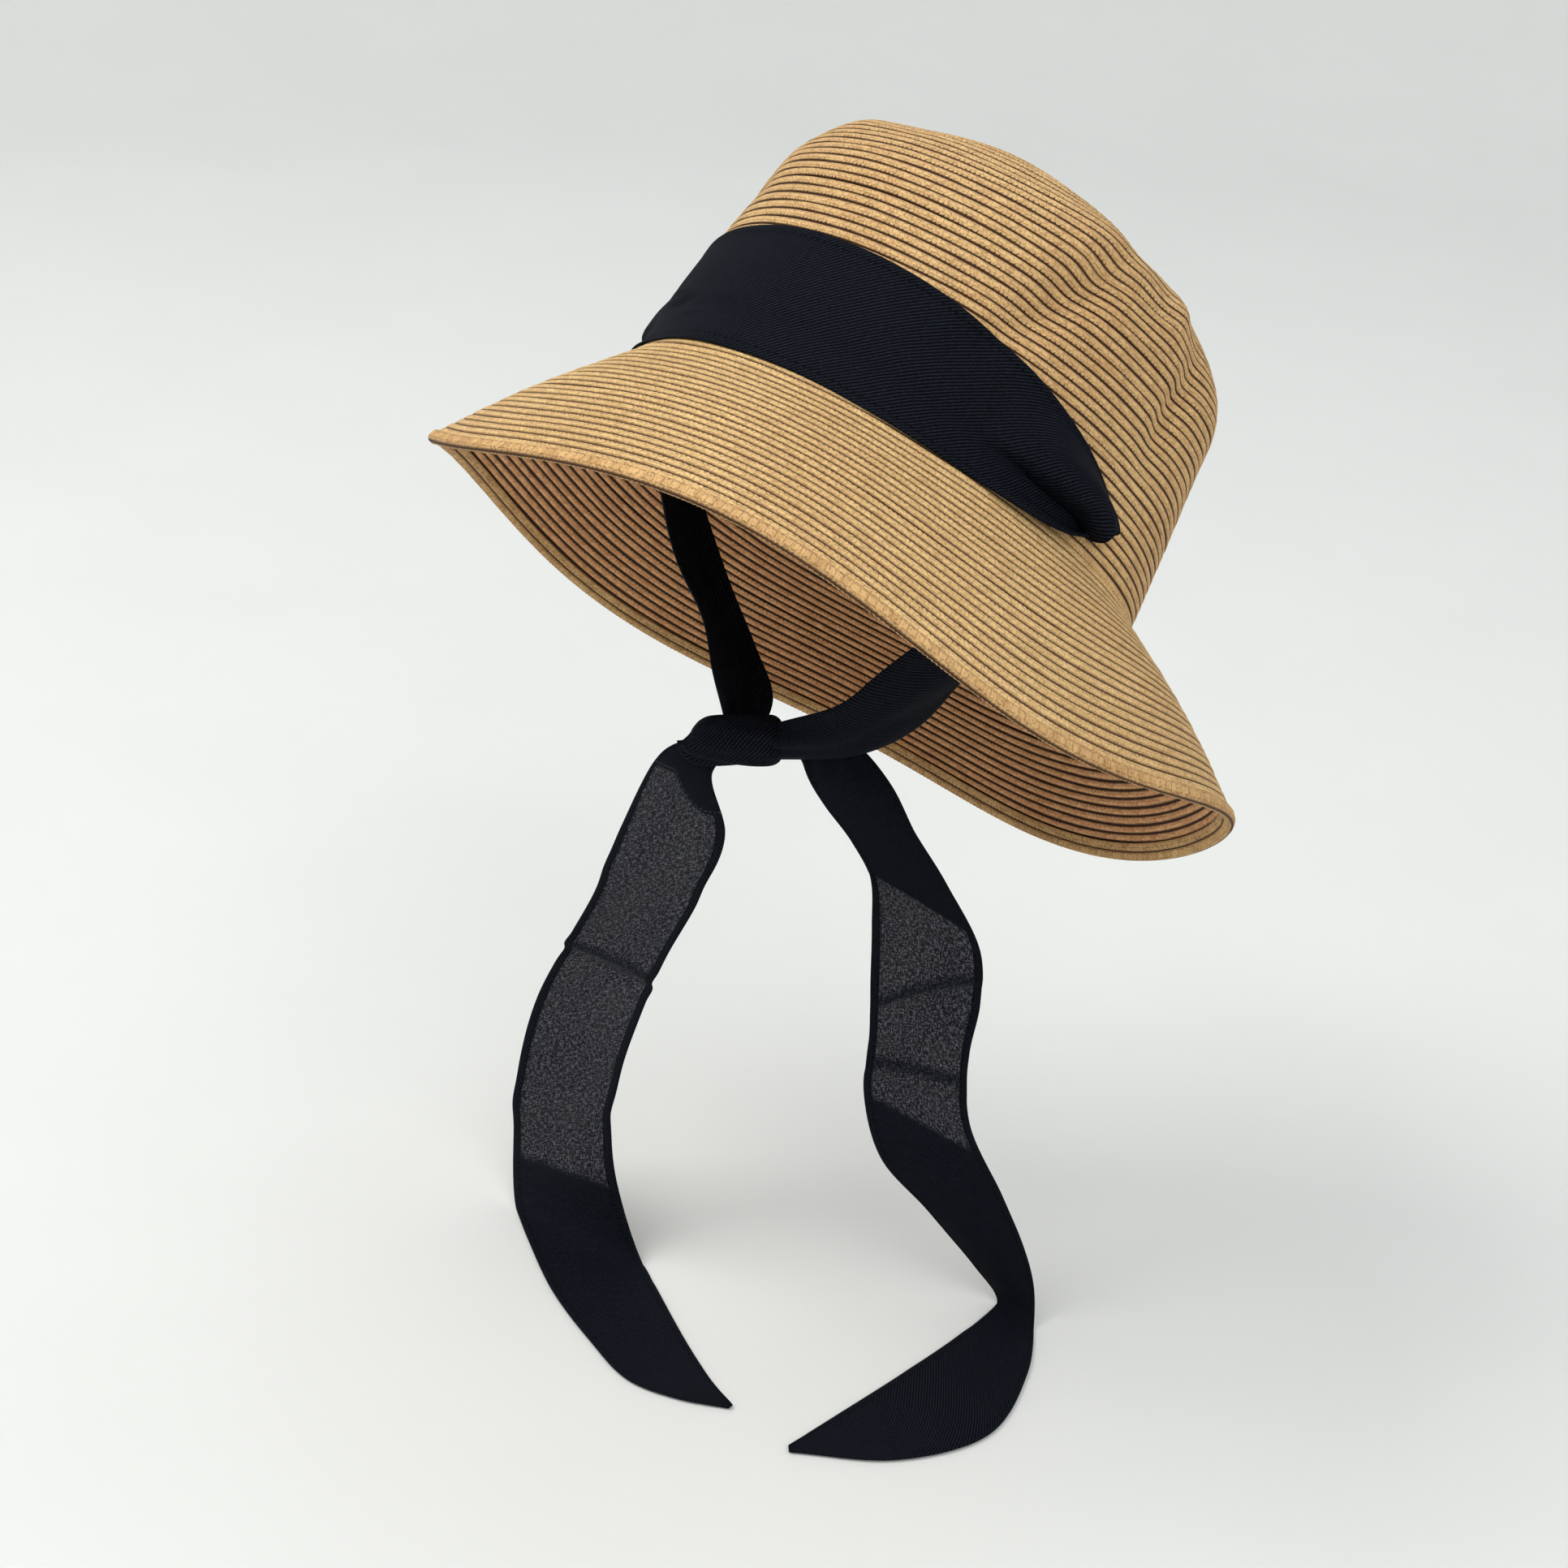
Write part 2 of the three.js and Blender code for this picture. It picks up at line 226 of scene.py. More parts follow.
def crown_profile(along):
    """(inset, height, outward, upward) at a distance up the crown's face from the head opening."""
    angle = np.clip((along - SIDE_LENGTH) / SHOULDER_RADIUS, 0, math.pi / 2)
    over = np.maximum(along - SIDE_LENGTH - SHOULDER_LENGTH, 0)
    on_side = np.minimum(along, SIDE_LENGTH)
    inset = on_side * math.sin(CROWN_TAPER) + SHOULDER_RADIUS * (1 - np.cos(angle)) + over
    doming = TOP_DOMING * np.clip(over / (HALF_WIDTH - SHOULDER_INSET), 0, 1) ** 0.8
    height = on_side * math.cos(CROWN_TAPER) + SHOULDER_RADIUS * np.sin(angle) + doming
    return inset, height, np.cos(angle), np.sin(angle)


# Soft dents in the crown: (turn, distance up the face, slant of the valley, half length, half width, depth)
DENTS = [
    (-39.0, 62.0, 60.0, 26.0, 6.5, 4.3),
    (-2.0, 60.0, 78.0, 19.0, 6.5, 4.0),
    (-24.0, 78.0, 20.0, 20.0, 9.0, 1.6),
    (60.0, 66.0, 80.0, 20.0, 7.0, 3.0),
    (118.0, 58.0, 100.0, 22.0, 8.0, 2.8),
    (196.0, 62.0, 80.0, 20.0, 7.0, 2.6),
    (-32.0, 88.0, 10.0, 30.0, 13.0, -3.4),
    (-133.0, 66.0, 0.0, 16.0, 12.0, 2.2),
    (-114.0, 97.0, 0.0, 22.0, 9.0, -2.1),
    (-62.0, 106.0, 0.0, 40.0, 13.0, -2.3),
    (-24.0, 99.0, 0.0, 12.0, 8.0, 2.0),
    (-10.0, 86.0, 60.0, 12.0, 6.0, -2.2),
    (14.0, 60.0, 70.0, 26.0, 14.0, -2.2),
]


def dent_depth(turn, along):
    depth = 0.5 * np.sin(3 * turn + 0.7) * smoothstep(along, 25, 70)
    radius = (HALF_WIDTH + HALF_LENGTH) / 2 - 8
    for middle, height, slant, half_length, half_width, deep in DENTS:
        across = (turn - math.radians(middle) + math.pi) % TAU - math.pi
        x, y = across * radius, along - height
        c, s = math.cos(math.radians(slant)), math.sin(math.radians(slant))
        lengthwise, crosswise = x * c + y * s, -x * s + y * c
        depth = depth + deep * np.exp(-(lengthwise / half_length) ** 2 - (crosswise / half_width) ** 2)
    return depth


def crown_surface(turn, along, off):
    inset, height, out, up = crown_profile(along)
    off = off - dent_depth(turn, along)
    reach = off * out
    x = (HALF_WIDTH - inset + reach) * np.cos(turn)
    y = (HALF_LENGTH - inset + reach) * np.sin(turn)
    return np.stack([x, y, height + off * up], axis=-1)


def edge_point(turn):
    out, down = np.ones_like(turn), np.full_like(turn, BRIM_DROP)
    for crests, out_cos, out_sin, down_cos, down_sin in EDGE_WAVES:
        c, s = np.cos(crests * turn), np.sin(crests * turn)
        out = out + (out_cos * c + out_sin * s) / 150
        down = down + down_cos * c + down_sin * s
    x = BRIM_HALF_WIDTH * out * np.cos(turn)
    y = BRIM_HALF_LENGTH * out * np.sin(turn) + BRIM_SET_BACK
    return np.stack([x, y, -down], axis=-1)


def brim_surface(turn, back, share, off):
    """A point of the brim: a share of the way from its root to its edge less a distance back, and off it."""
    inset = BRAID_THICKNESS / 2
    root = np.stack([
        (HALF_WIDTH - inset) * np.cos(turn), (HALF_LENGTH - inset) * np.sin(turn),
        np.full_like(turn, -BRIM_ROOT_DROP),
    ], axis=-1)
    edge = edge_point(turn)
    slope = edge - root
    length = np.linalg.norm(slope, axis=-1)
    slope = slope / length[..., None]
    ahead = edge_point(turn + 0.01) - edge_point(turn - 0.01)
    normal = np.cross(ahead, slope)
    normal = normal / np.linalg.norm(normal, axis=-1)[..., None]
    normal = normal * np.where(normal[..., 2] < 0, -1, 1)[..., None]
    along = share * length - back
    off = off + BRIM_BULGE * np.sin(math.pi * along / length)
    return root + slope * along[..., None] + normal * off[..., None]


def straw_rows(rows, relief):
    """(row coordinate, height) of every ring of a run of rows, ending on the last groove."""
    where = [(row + share, height) for row in range(rows) for share, height in relief]
    return np.array(where + [(rows, relief[0][1])])


def wobble(turn, row, seed):
    """Each row's own slow wander, between -1 and 1."""
    phase = np.sin(row * 12.9898 + seed) * 43758.5453
    phase = (phase - np.floor(phase)) * TAU
    return 0.6 * np.sin(5 * turn + phase) + 0.4 * np.sin(13 * turn + 2.3 * phase)


def stitches_in(radius_x, radius_y):
    """Whole number of braid stitches round an oval."""
    return np.maximum(np.round(TAU * np.sqrt((radius_x ** 2 + radius_y ** 2) / 2) / STITCH), 8)


def straw_height(turn, rows, heights, stitches):
    """The straw's height over a smooth surface: rows, slanted stitches and a little unevenness."""
    share = rows - np.floor(rows)
    teeth = np.exp(-((share - 0.2) / 0.16) ** 2)
    slanted = stitches * turn + 2.5 * share + 0.6 * wobble(turn, np.floor(rows), 5.0)
    pebble = np.exp(-((share - 0.6) / 0.25) ** 2)
    return (
        heights
        + 0.16 * teeth * np.sin(slanted)
        + 0.06 * pebble * np.sin(0.5 * slanted + 1.7 * np.floor(rows))
        + 0.10 * wobble(turn, np.floor(rows), 1.0)
    )


def slit_spans(around):
    """The first and last step of each slit, on a shell with this many steps round it."""
    ends = [(SLIT_FRONT, SLIT_BACK), (180 - SLIT_BACK, 180 - SLIT_FRONT)]
    return [(round(a * around / 360) % around, round(b * around / 360) % around) for a, b in ends]


def slit_walls(start, end, around, last_ring):
    """Quads that join the outer face to the inner one round a slit: its two long lips, then its ends."""
    outer_row, inner_row = len(ROW_RELIEF), len(ROW_RELIEF_UNDER)
    low, high = SLIT_ROWS
    steps = (start + np.arange((end - start) % around)) % around
    beside = (steps + 1) % around
    walls = []
    for row, flipped in ((low, False), (high, True)):
        a, b = outer_row * row * around, (last_ring - inner_row * row) * around
        wall = np.stack([a + steps, a + beside, b + beside, b + steps], axis=1)
        walls.append(wall[:, ::-1] if flipped else wall)
    for edge, flipped in ((start, False), (end, True)):
        for row in range(low, high):
            a, b = outer_row * row, last_ring - inner_row * row
            wall = np.array([[a, a + outer_row, b - inner_row, b]]) * around + edge
            walls.append(wall[:, ::-1] if flipped else wall)
    return np.concatenate(walls)


def slit_openings(faces, u, v, ring, step, around, outer_rings):
    """Cuts the two slits that the scarf goes in by, and walls them round."""
    outer_row, inner_row = len(ROW_RELIEF), len(ROW_RELIEF_UNDER)
    last_ring = outer_rings + inner_row * ((outer_rings - 1) // outer_row)
    low, high = SLIT_ROWS
    outer_cut = (ring >= outer_row * low) & (ring < outer_row * high)
    inner_cut = (ring >= last_ring - inner_row * high) & (ring < last_ring - inner_row * low)
    spans = slit_spans(around)
    keep = np.ones(len(faces), bool)
    for start, end in spans:
        keep &= ~((outer_cut | inner_cut) & ((step - start) % around < (end - start) % around))
    walls = np.concatenate([slit_walls(start, end, around, last_ring) for start, end in spans])
    faces = np.concatenate([faces[keep], walls])
    u = np.concatenate([u[keep], np.zeros(walls.shape)])
    v = np.concatenate([v[keep], np.full(walls.shape, 0.5)])
    return faces, u, v


def straw_shell(
    name, around, outer, inner, surface, under, radii, first_row, materials, caps=False, slits=False,
):
    """A closed shell of braid rows. `outer` and `inner` are (row, height) rings, `surface(turn, row, off)`
    places them, and the inner ones lie a distance `under` the surface. `radii(row)` is the oval's size,
    `materials` are the outer face's and the inner face's, `caps` closes a shell that ends at the middle
    of the top, and `slits` cuts the scarf's two slits."""
    turn = np.arange(around) / around * TAU
    rings, row_of = [], []
    for rows_heights, side in ((outer, 1), (inner[::-1], -1)):
        for row, height in rows_heights:
            stitch = stitches_in(*radii(row))
            lift = straw_height(turn, np.full(around, row + first_row + 1e-6), height, stitch)
            if side < 0:
                lift = -under - lift
            wander = row + 0.07 * wobble(turn, math.floor(row + first_row + 1e-6), 9.0)
            wander = np.where((row <= 0) | (row >= outer[-1][0]), row, wander)
            rings.append(surface(turn, wander, lift))
            row_of.append(row)
    points = np.concatenate(rings)
    row_of = np.array(row_of)
    faces, ring, step = ring_faces(len(rings), around, not caps)
    after = (ring + 1) % len(rings)
    lower = np.minimum(row_of[ring], row_of[after])
    per_row = {row: stitches_in(*radii(row)) for row in set(np.floor(lower + 1e-6))}
    stitch = np.array([per_row[row] for row in np.floor(lower + 1e-6)])
    u = round_corners(step, around, stitch[:, None])
    v = rising_corners(row_of[ring], row_of[after]) + first_row
    if caps:
        middle = len(outer) - 1
        keep = ring != middle
        faces, u, v = faces[keep], u[keep], v[keep]
        joins = ring_faces(2, around, False)[0]
        last = (len(rings) - 1) * around
        joins = np.where(joins >= around, joins - around, joins + last)
        outer_cap = cap_faces(middle * around, around)
        inner_cap = cap_faces((middle + 1) * around, around)[:, ::-1]
        extra = np.concatenate([joins, outer_cap, inner_cap])
        faces = np.concatenate([faces, extra])
        u = np.concatenate([u, np.zeros((len(extra), 4))])
        v = np.concatenate([v, np.full((len(extra), 4), first_row + 0.5)])
    if slits:
        faces, u, v = slit_openings(faces, u, v, ring, step, around, len(outer))
    piece = closed_mesh(name, lean(points), faces, u, v, materials[0])
    # The inner faces take the second material, the straw copy with painted shade.
    piece.data.materials.append(materials[1])
    inside = faces.min(axis=1) // around >= len(outer)
    piece.data.polygons.foreach_set("material_index", inside.astype(np.int32))
    return piece


def crown_pieces(material, shaded_inner_material):
    side_rows = round(SIDE_LENGTH / ROW)
    shoulder_rows = round(SHOULDER_LENGTH / ROW)
    tip_rows = round(TIP_LENGTH / ROW)
    parts = [
        ("crown_side_braid", "crown_side", 0.0, SIDE_LENGTH, side_rows, 720),
        ("crown_shoulder_braid", "crown_shoulder", SIDE_LENGTH, SHOULDER_LENGTH, shoulder_rows, 640),
        ("crown_tip_braid", "crown_tip", SIDE_LENGTH + SHOULDER_LENGTH, TIP_LENGTH, tip_rows, 400),
    ]
    first_row = 0
    for name, node, start, length, rows, around in parts:

        def surface(turn, row, off, start=start, length=length, rows=rows):
            return crown_surface(turn, start + length * row / rows, off)

        def radii(row, start=start, length=length, rows=rows):
            inset = crown_profile(np.float64(start + length * row / rows))[0]
            return HALF_WIDTH - inset, HALF_LENGTH - inset

        piece = straw_shell(
            name, around, straw_rows(rows, ROW_RELIEF), straw_rows(rows, ROW_RELIEF_UNDER),
            surface, BRAID_THICKNESS * 0.7, radii, first_row, (material, shaded_inner_material),
            caps=node == "crown_tip", slits=node == "crown_side",
        )
        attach(piece, "hat")
        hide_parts(node)
        first_row += rows


def brim_pieces(material, shaded_inner_material):
    rows = 23
    halves = [("brim_inner_braid", 0, 12, 800), ("brim_outer_braid", 12, 23, 960)]
    for name, start, end, around in halves:

        def surface(turn, row, off, start=start):
            share = (row + start) / rows - 0.022 * (1 - smoothstep(row + start, 0, 0.3))
            root_lift = 0.9 * (1 - smoothstep(row + start, 0, 2)) * (off > -1)
            return brim_surface(turn, BRIM_STOPS_SHORT * share, share, off + root_lift + BRIM_THICKNESS / 2)

        def radii(row, start=start):
            share = (row + start) / rows
            return lerp(HALF_WIDTH, BRIM_HALF_WIDTH, share), lerp(HALF_LENGTH, BRIM_HALF_LENGTH, share)

        count = end - start
        outer = straw_rows(count, [(share, height * 0.8) for share, height in ROW_RELIEF])
        piece = straw_shell(
            name, around, outer, straw_rows(count, ROW_RELIEF_UNDER),
            surface, BRIM_THICKNESS, radii, start, (material, shaded_inner_material),
        )
        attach(piece, "hat")
        if start == 0:
            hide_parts("brim")


def edge_braid(material):
    """The braid folded over the brim's rim."""
    around = 1100
    turn = np.arange(around) / around * TAU
    section = [  # (back from the edge, off the middle, how much the stitches show)
        (3.9, 1.1, 0), (3.8, 1.45, 0.5), (2.8, 1.62, 1), (1.5, 1.5, 1), (0.5, 0.95, 1), (0.0, 0.0, 1),
        (0.4, -1.0, 1), (1.4, -1.6, 1), (3.0, -1.75, 1), (3.6, -1.45, 0.6), (4.2, -1.7, 1), (5.6, -1.8, 1),
        (6.6, -1.6, 0.6), (6.7, -1.2, 0), (1.0, -1.05, 0), (1.0, 1.0, 0),
    ]
    stitches = stitches_in(BRIM_HALF_WIDTH, BRIM_HALF_LENGTH)
    rings = []
    for index, (back, off, shows) in enumerate(section):
        slanted = stitches * turn + 1.1 * back * np.sign(off)
        rise = shows * (0.2 * np.sin(slanted) + 0.12 * wobble(turn, index // 3, 3.0))
        rings.append(brim_surface(turn, np.full(around, float(back)), 1.0, off + rise * np.sign(off)))
    points = np.concatenate(rings)
    faces, ring, step = ring_faces(len(rings), around, True)
    u = round_corners(step, around, stitches)
    across = np.interp(np.arange(len(section) + 1), [0, 5, 9, 13, 16], [0.1, 1.0, 2.0, 2.9, 3.0])
    v = rising_corners(across[ring], across[ring + 1])
    piece = closed_mesh("edge_fold_braid", lean(points), faces, u, v, material)
    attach(piece, "hat")
    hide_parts("brim_edge_braid")


# ---------- cloth ----------


def between(start, end, first, last, t):
    """The straight-line value at t, from `first` at `start` to `last` at `end`."""
    return ((end - t) * first + (t - start) * last) / (end - start)


def catmull(rows, share):
    """A smooth curve through the rows, centripetal like the CAD part's. A share counts rows, not length."""
    rows = np.array(rows, float)
    ends = np.concatenate([[2 * rows[0] - rows[1]], rows, [2 * rows[-1] - rows[-2]]])
    pieces = []
    for i in range(1, len(ends) - 2):
        p = ends[i - 1:i + 3]
        knots = np.concatenate([[0], np.cumsum(np.linalg.norm(np.diff(p, axis=0), axis=1) ** 0.5)])
        t = np.linspace(knots[1], knots[2], 16, endpoint=False)[:, None]
        a = [between(knots[j], knots[j + 1], p[j], p[j + 1], t) for j in range(3)]
        b = [between(knots[j], knots[j + 2], a[j], a[j + 1], t) for j in range(2)]
        pieces.append(between(knots[1], knots[2], b[0], b[1], t))
    dense = np.concatenate(pieces + [rows[-1:]])
    place = (len(rows) - 1) * np.asarray(share) * 16
    low = np.clip(place.astype(int), 0, len(dense) - 2)
    part = (place - low)[:, None]
    return dense[low] * (1 - part) + dense[low + 1] * part


def grid_normals(grid):
    along = np.gradient(grid, axis=0)
    across = np.gradient(grid, axis=1)
    normal = np.cross(along, across)
    return normal / np.maximum(np.linalg.norm(normal, axis=-1), 1e-9)[..., None]


def lengths_along(grid):
    """Distance of each row of the grid along the cloth's middle line."""
    middle = grid[:, grid.shape[1] // 2]
    return np.concatenate([[0], np.cumsum(np.linalg.norm(np.diff(middle, axis=0), axis=1))])


def cloth(name, grid, material):
    """A closed strip of cloth about a grid of points [along, across], hems thicker than the rest.
    U is the distance along it and V the distance across it, in millimetres of flat cloth."""
    rows, columns = grid.shape[:2]
    normal = grid_normals(grid)
    across = np.linspace(0, SCARF_WIDTH, columns)
    from_edge = np.minimum(across, SCARF_WIDTH - across)
    along = lengths_along(grid)
    half = np.full((rows, columns), CLOTH / 2)
    half += 0.16 * (1 - smoothstep(from_edge, HEM - 0.5, HEM))[None, :]
    stitch_line = np.exp(-((from_edge - HEM + 0.7) / 0.5) ** 2)[None, :]
    half -= 0.12 * stitch_line * (0.6 + 0.4 * np.cos(along * TAU / 2.4))[:, None]
    half *= np.where(from_edge < 0.01, 0.45, 1)[None, :]
    front, back = grid + normal * half[..., None], grid - normal * half[..., None]
    rings = np.concatenate([front, back[:, ::-1]], axis=1)
    around = 2 * columns
    points = rings.reshape(-1, 3)
    faces, ring, step = ring_faces(rows, around, False)
    v_of = np.concatenate([across, across[::-1]])
    beside = (step + 1) % around
    u = rising_corners(along[ring], along[ring + 1])
    v = np.stack([v_of[step], v_of[beside], v_of[beside], v_of[step]], axis=1)
    i = np.arange(columns - 1)
    start = np.stack([i + 1, i, around - 1 - i, around - 2 - i], axis=1)
    end = start[:, ::-1] + (rows - 1) * around
    end_v = np.stack([across[i + 1], across[i], across[i], across[i + 1]], axis=1)
    faces = np.concatenate([faces, start, end])
    u = np.concatenate([u, np.full(start.shape, along[0]), np.full(end.shape, along[-1])])
    v = np.concatenate([v, end_v, end_v[:, ::-1]])
    return closed_mesh(name, points, faces, u, v, material)


def bezier(p0, p1, p2, p3, t):
    return p0 * (1 - t) ** 3 + 3 * p1 * t * (1 - t) ** 2 + 3 * p2 * t ** 2 * (1 - t) + p3 * t ** 3


def hump(x, middle, half_width):
    return np.exp(-((x - middle) / half_width) ** 2)


BAND_TURNS_IN = 48.0  # degrees from the front where the band starts to gather towards its slit
BAND_BOTTOM_FRONT, BAND_BOTTOM_SIDE = -0.8, -2.8  # it lies a little over the brim's root
TUCK_HEIGHT = 7.6  # the folds hang a little over the slit's lower lip before they go in
TUCK_FRONT_SPAN, TUCK_BACK_SPAN = 76.0, 83.5
# Small creases low on the band, to the wearer's right: (degrees from the front, height, slant, depth)
BAND_CREASES = [
    (30.0, 13.0, 0.12, -0.9),
    (34.0, 17.5, -0.1, 0.7),
    (25.0, 9.0, 0.05, 0.5),
    (38.0, 21.0, 0.2, -0.5),
]
MM_PER_DEGREE = 1.65  # along the band


def band_top(span):
    return BAND_HEIGHT * np.sqrt(1 - (span / BAND_FULL_SPAN) ** 2)


def band_route(w, steps_front, steps_side):
    """How half the band runs to its slit, [along, across] for the shares w of its width: degrees from the
    front, height up the crown, and the share of the way from where it turns in to the slit."""
    span = np.linspace(0, BAND_TURNS_IN, steps_front, endpoint=False)[:, None]
    front_span = span + 0 * w
    bottom = lerp(BAND_BOTTOM_FRONT, BAND_BOTTOM_SIDE, smoothstep(span, 10, BAND_TURNS_IN))
    front_height = lerp(bottom, band_top(span), w)
    slope = (band_top(BAND_TURNS_IN + 0.5) - band_top(BAND_TURNS_IN - 0.5)) * w
    t = np.linspace(0, 1, steps_side)[:, None]
    start_height = lerp(BAND_BOTTOM_SIDE, band_top(BAND_TURNS_IN), w)
    end_span = lerp(TUCK_FRONT_SPAN, TUCK_BACK_SPAN, w)
    arrives = lerp(-8.0, 12.0, smoothstep(w, 0.06, 0.5))
    reach = lerp(12.0, 15.0, w)
    side_span = bezier(BAND_TURNS_IN, BAND_TURNS_IN + reach, end_span - 4 * (1 - w), end_span, t)
    leaves = start_height + slope * reach
    side_height = bezier(start_height, leaves, TUCK_HEIGHT + arrives, TUCK_HEIGHT, t)
    span = np.concatenate([front_span, side_span])
    height = np.concatenate([front_height, side_height])
    return span, height, np.concatenate([0 * front_span, t + 0 * w])


def half_band(across, steps_front, steps_side, side):
    """The band from the front to its slit, on the wearer's left (side 1) or right (-1). It gathers into
    two folds with a pocket between them, and then dives into the slit."""
    w = across[None, :]
    span, height, t = band_route(w, steps_front, steps_side)
    puffed = smoothstep(t, -0.1, 0.5) * (1 - smoothstep(t, 0.88, 1.0))
    upper_fold = smoothstep(w, 0.27, 0.42) * (1 - 0.8 * smoothstep(w, 0.55, 1.0))
    puff = puffed * (8.2 * upper_fold + 4.8 * hump(w, 0.06, 0.11))
    pocket = hump(w, 0.23, 0.09) * smoothstep(t, 0.0, 0.35)
    pleats = 0.4 * np.sin(w * TAU * 4.5 + 1.2) * smoothstep(t, 0.45, 0.95)
    dive = smoothstep(t, 0.9, 1.0)
    open_pocket = 1 - smoothstep(t, 0.62, 0.84)
    overhang = lerp(4.8, 3.2, open_pocket) * hump(w, 0.37, 0.09) + hump(w, 0.0, 0.12)
    height = height - puffed * (overhang - (0.6 + 2.0 * open_pocket) * hump(w, 0.22, 0.06))
    ease = 0.25 * np.sin(span * 0.19 + side + w * 2.5) * (1 - smoothstep(t, 0, 0.3))
    on_brim = 1.6 * smoothstep(-height, 0.0, 3.0)
    over_slit = smoothstep(height, 9.4, 10.6) * (1 - smoothstep(height, 13.6, 14.8))
    over_slit = over_slit * smoothstep(span, 66.0, 68.5) * open_pocket
    pocket = pocket * (9.0 + 3.0 * over_slit)
    off = 1.15 + puff + pleats + ease + on_brim - pocket
    off = np.maximum(off, lerp(0.75, -3.0, over_slit)) - 8.0 * dive
    if side < 0:
        for middle, level, slant, deep in BAND_CREASES:
            x, y = (span - middle) * MM_PER_DEGREE, height - level
            c, s = math.cos(slant), math.sin(slant)
            off = off + deep * hump(x * s + y * c, 0, 1.4) * hump(x * c - y * s, 0, 9.0)
    height = height + (SLIT_HEIGHT - TUCK_HEIGHT) * dive
    turn = np.radians(span - 90) if side > 0 else np.radians(-90 - span)
    return crown_point(turn, height, off)


def crown_point(turn, height, off):
    along = np.maximum(height, 0) / math.cos(CROWN_TAPER)
    point = crown_surface(turn, along, off)
    point[..., 2] += np.minimum(height, 0)
    return point


def scarf_band(material):
    """The scarf's broad run round the front of the crown, from slit to slit."""
    across = np.linspace(0, 1, 72)
    left = half_band(across, 150, 150, 1)
    right = half_band(across, 150, 150, -1)
    grid = lean(np.concatenate([right[:0:-1], left]))
    piece = cloth("scarf_band_cloth", grid, material)
    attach(piece, "hat")
    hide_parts("scarf_band")


def pass_route(side):
    """Where the scarf comes out of its slit inside the crown and turns down, [along, across]."""
    across = np.linspace(0, 1, 48)[None, :]
    turn = np.radians(lerp(SLIT_FRONT + 1.5, SLIT_BACK - 1.5, across))
    turn = turn if side > 0 else math.pi - turn
    t = np.linspace(0, 1, 30)[:, None]
    off = bezier(-1.0, -7.0, -6.5, -5.2, t) + 1.5 * np.sin(across * TAU * 4.5) * smoothstep(t, 0, 0.5)
    height = bezier(SLIT_HEIGHT, SLIT_HEIGHT + 0.5, SLIT_HEIGHT - 5, -3.5, t) + 0 * across
    inset = np.maximum(height, 0) * math.tan(CROWN_TAPER) - off
    x = (HALF_WIDTH - inset) * np.cos(turn)
    y = (HALF_LENGTH - inset) * np.sin(turn)
    return np.stack([x, y, height], axis=-1)


def scarf_pass(side, material):
    """The scarf's short run through a slit and down inside the crown."""
    word = "left" if side > 0 else "right"
    piece = cloth(f"scarf_pass_{word}_cloth", lean(pass_route(side)), material)
    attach(piece, "hat")
    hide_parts(f"scarf_pass_{word}")


# Strap edges from below the slit to the knot: (front edge, back edge).
STRAP_EDGES = {
    1: (
        [(76, -31, 12), (64, -38, -4), (50, -44, -19), (37, -46, -34), (23, -47, -49), (0, -50, -64)],
        [(75, -13, 3), (61, -17, -18), (49, -20, -41), (38, -25, -58), (24, -36, -70), (0, -50, -76)],
    ),
    -1: (
        [(-76, -31, 12), (-64, -38, -6), (-50, -44, -24), (-36, -46, -40), (-24, -53, -53), (-15, -58, -63)],
        [(-75, -13, 3), (-61, -17, -16), (-47, -20, -36), (-29, -25, -52), (-11, -37, -62), (-5, -50, -70)],
    ),
}


def chin_strap(side, material):
    """The scarf from its slit to the knot: a strip with a third of its width folded behind the rest."""
    word = "left" if side > 0 else "right"
    rim = lean(pass_route(side)[-7])  # it starts a little way up its pass, so that no gap shows
    edges = [[tuple(first)] + rows for first, rows in zip((rim[2], rim[-3]), STRAP_EDGES[side])]
    q = np.linspace(0, 1, 220)
    front, back = catmull(edges[0], q), catmull(edges[1], q)
    w = np.linspace(0, 1, 80)
    folded = smoothstep(q, 0.02, 0.3)[:, None]
    turn_at = 0.66  # the share of the width in the front layer, the rest is folded behind it
    layer = np.where(w < turn_at, 1 - w / turn_at, (w - turn_at) / turn_at)[None, :]
    place = lerp(1 - w[None, :], layer, folded)
    tangent = np.gradient(lerp(front, back, 0.5), axis=0)
    width_way = back - front
    out = np.cross(width_way, tangent)
    out /= np.linalg.norm(out, axis=1)[:, None]
    out *= np.where((out @ np.array([0.55 * side, -0.8, 0.2])).sum() < 0, -1, 1)
    layer_gap = 1.5 * np.tanh((turn_at - w) / 0.06)[None, :] * folded
    bow = 3.5 * np.sin(math.pi * np.clip(place, 0, 1)) * smoothstep(q, 0, 0.3)[:, None]
    pleats = 0.7 * np.sin(place * TAU * 2.2 + 3 * q[:, None]) * smoothstep(q, 0.45, 1.0)[:, None]
    pleats = pleats + 0.4 * np.sin(place * 9 + q[:, None] * 17)
    off = (layer_gap + bow + pleats)[..., None]
    grid = front[:, None] + width_way[:, None] * place[..., None] + out[:, None] * off
    piece = cloth(f"chin_strap_{word}_cloth", grid, material)
    top, third_way_down = lerp(rim[2], rim[-3], 0.5), lerp(front[70], back[70], 0.5)
    top * MM
    third_way_down * MM
    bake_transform(piece)
    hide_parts(f"chin_strap_{word}")


KNOT_LEFT, KNOT_RIGHT = np.array([-22.5, -68.0, -72.0]), np.array([3.0, -47.0, -69.8])
KNOT_HEIGHT, KNOT_DEPTH = 8.8, 6.6


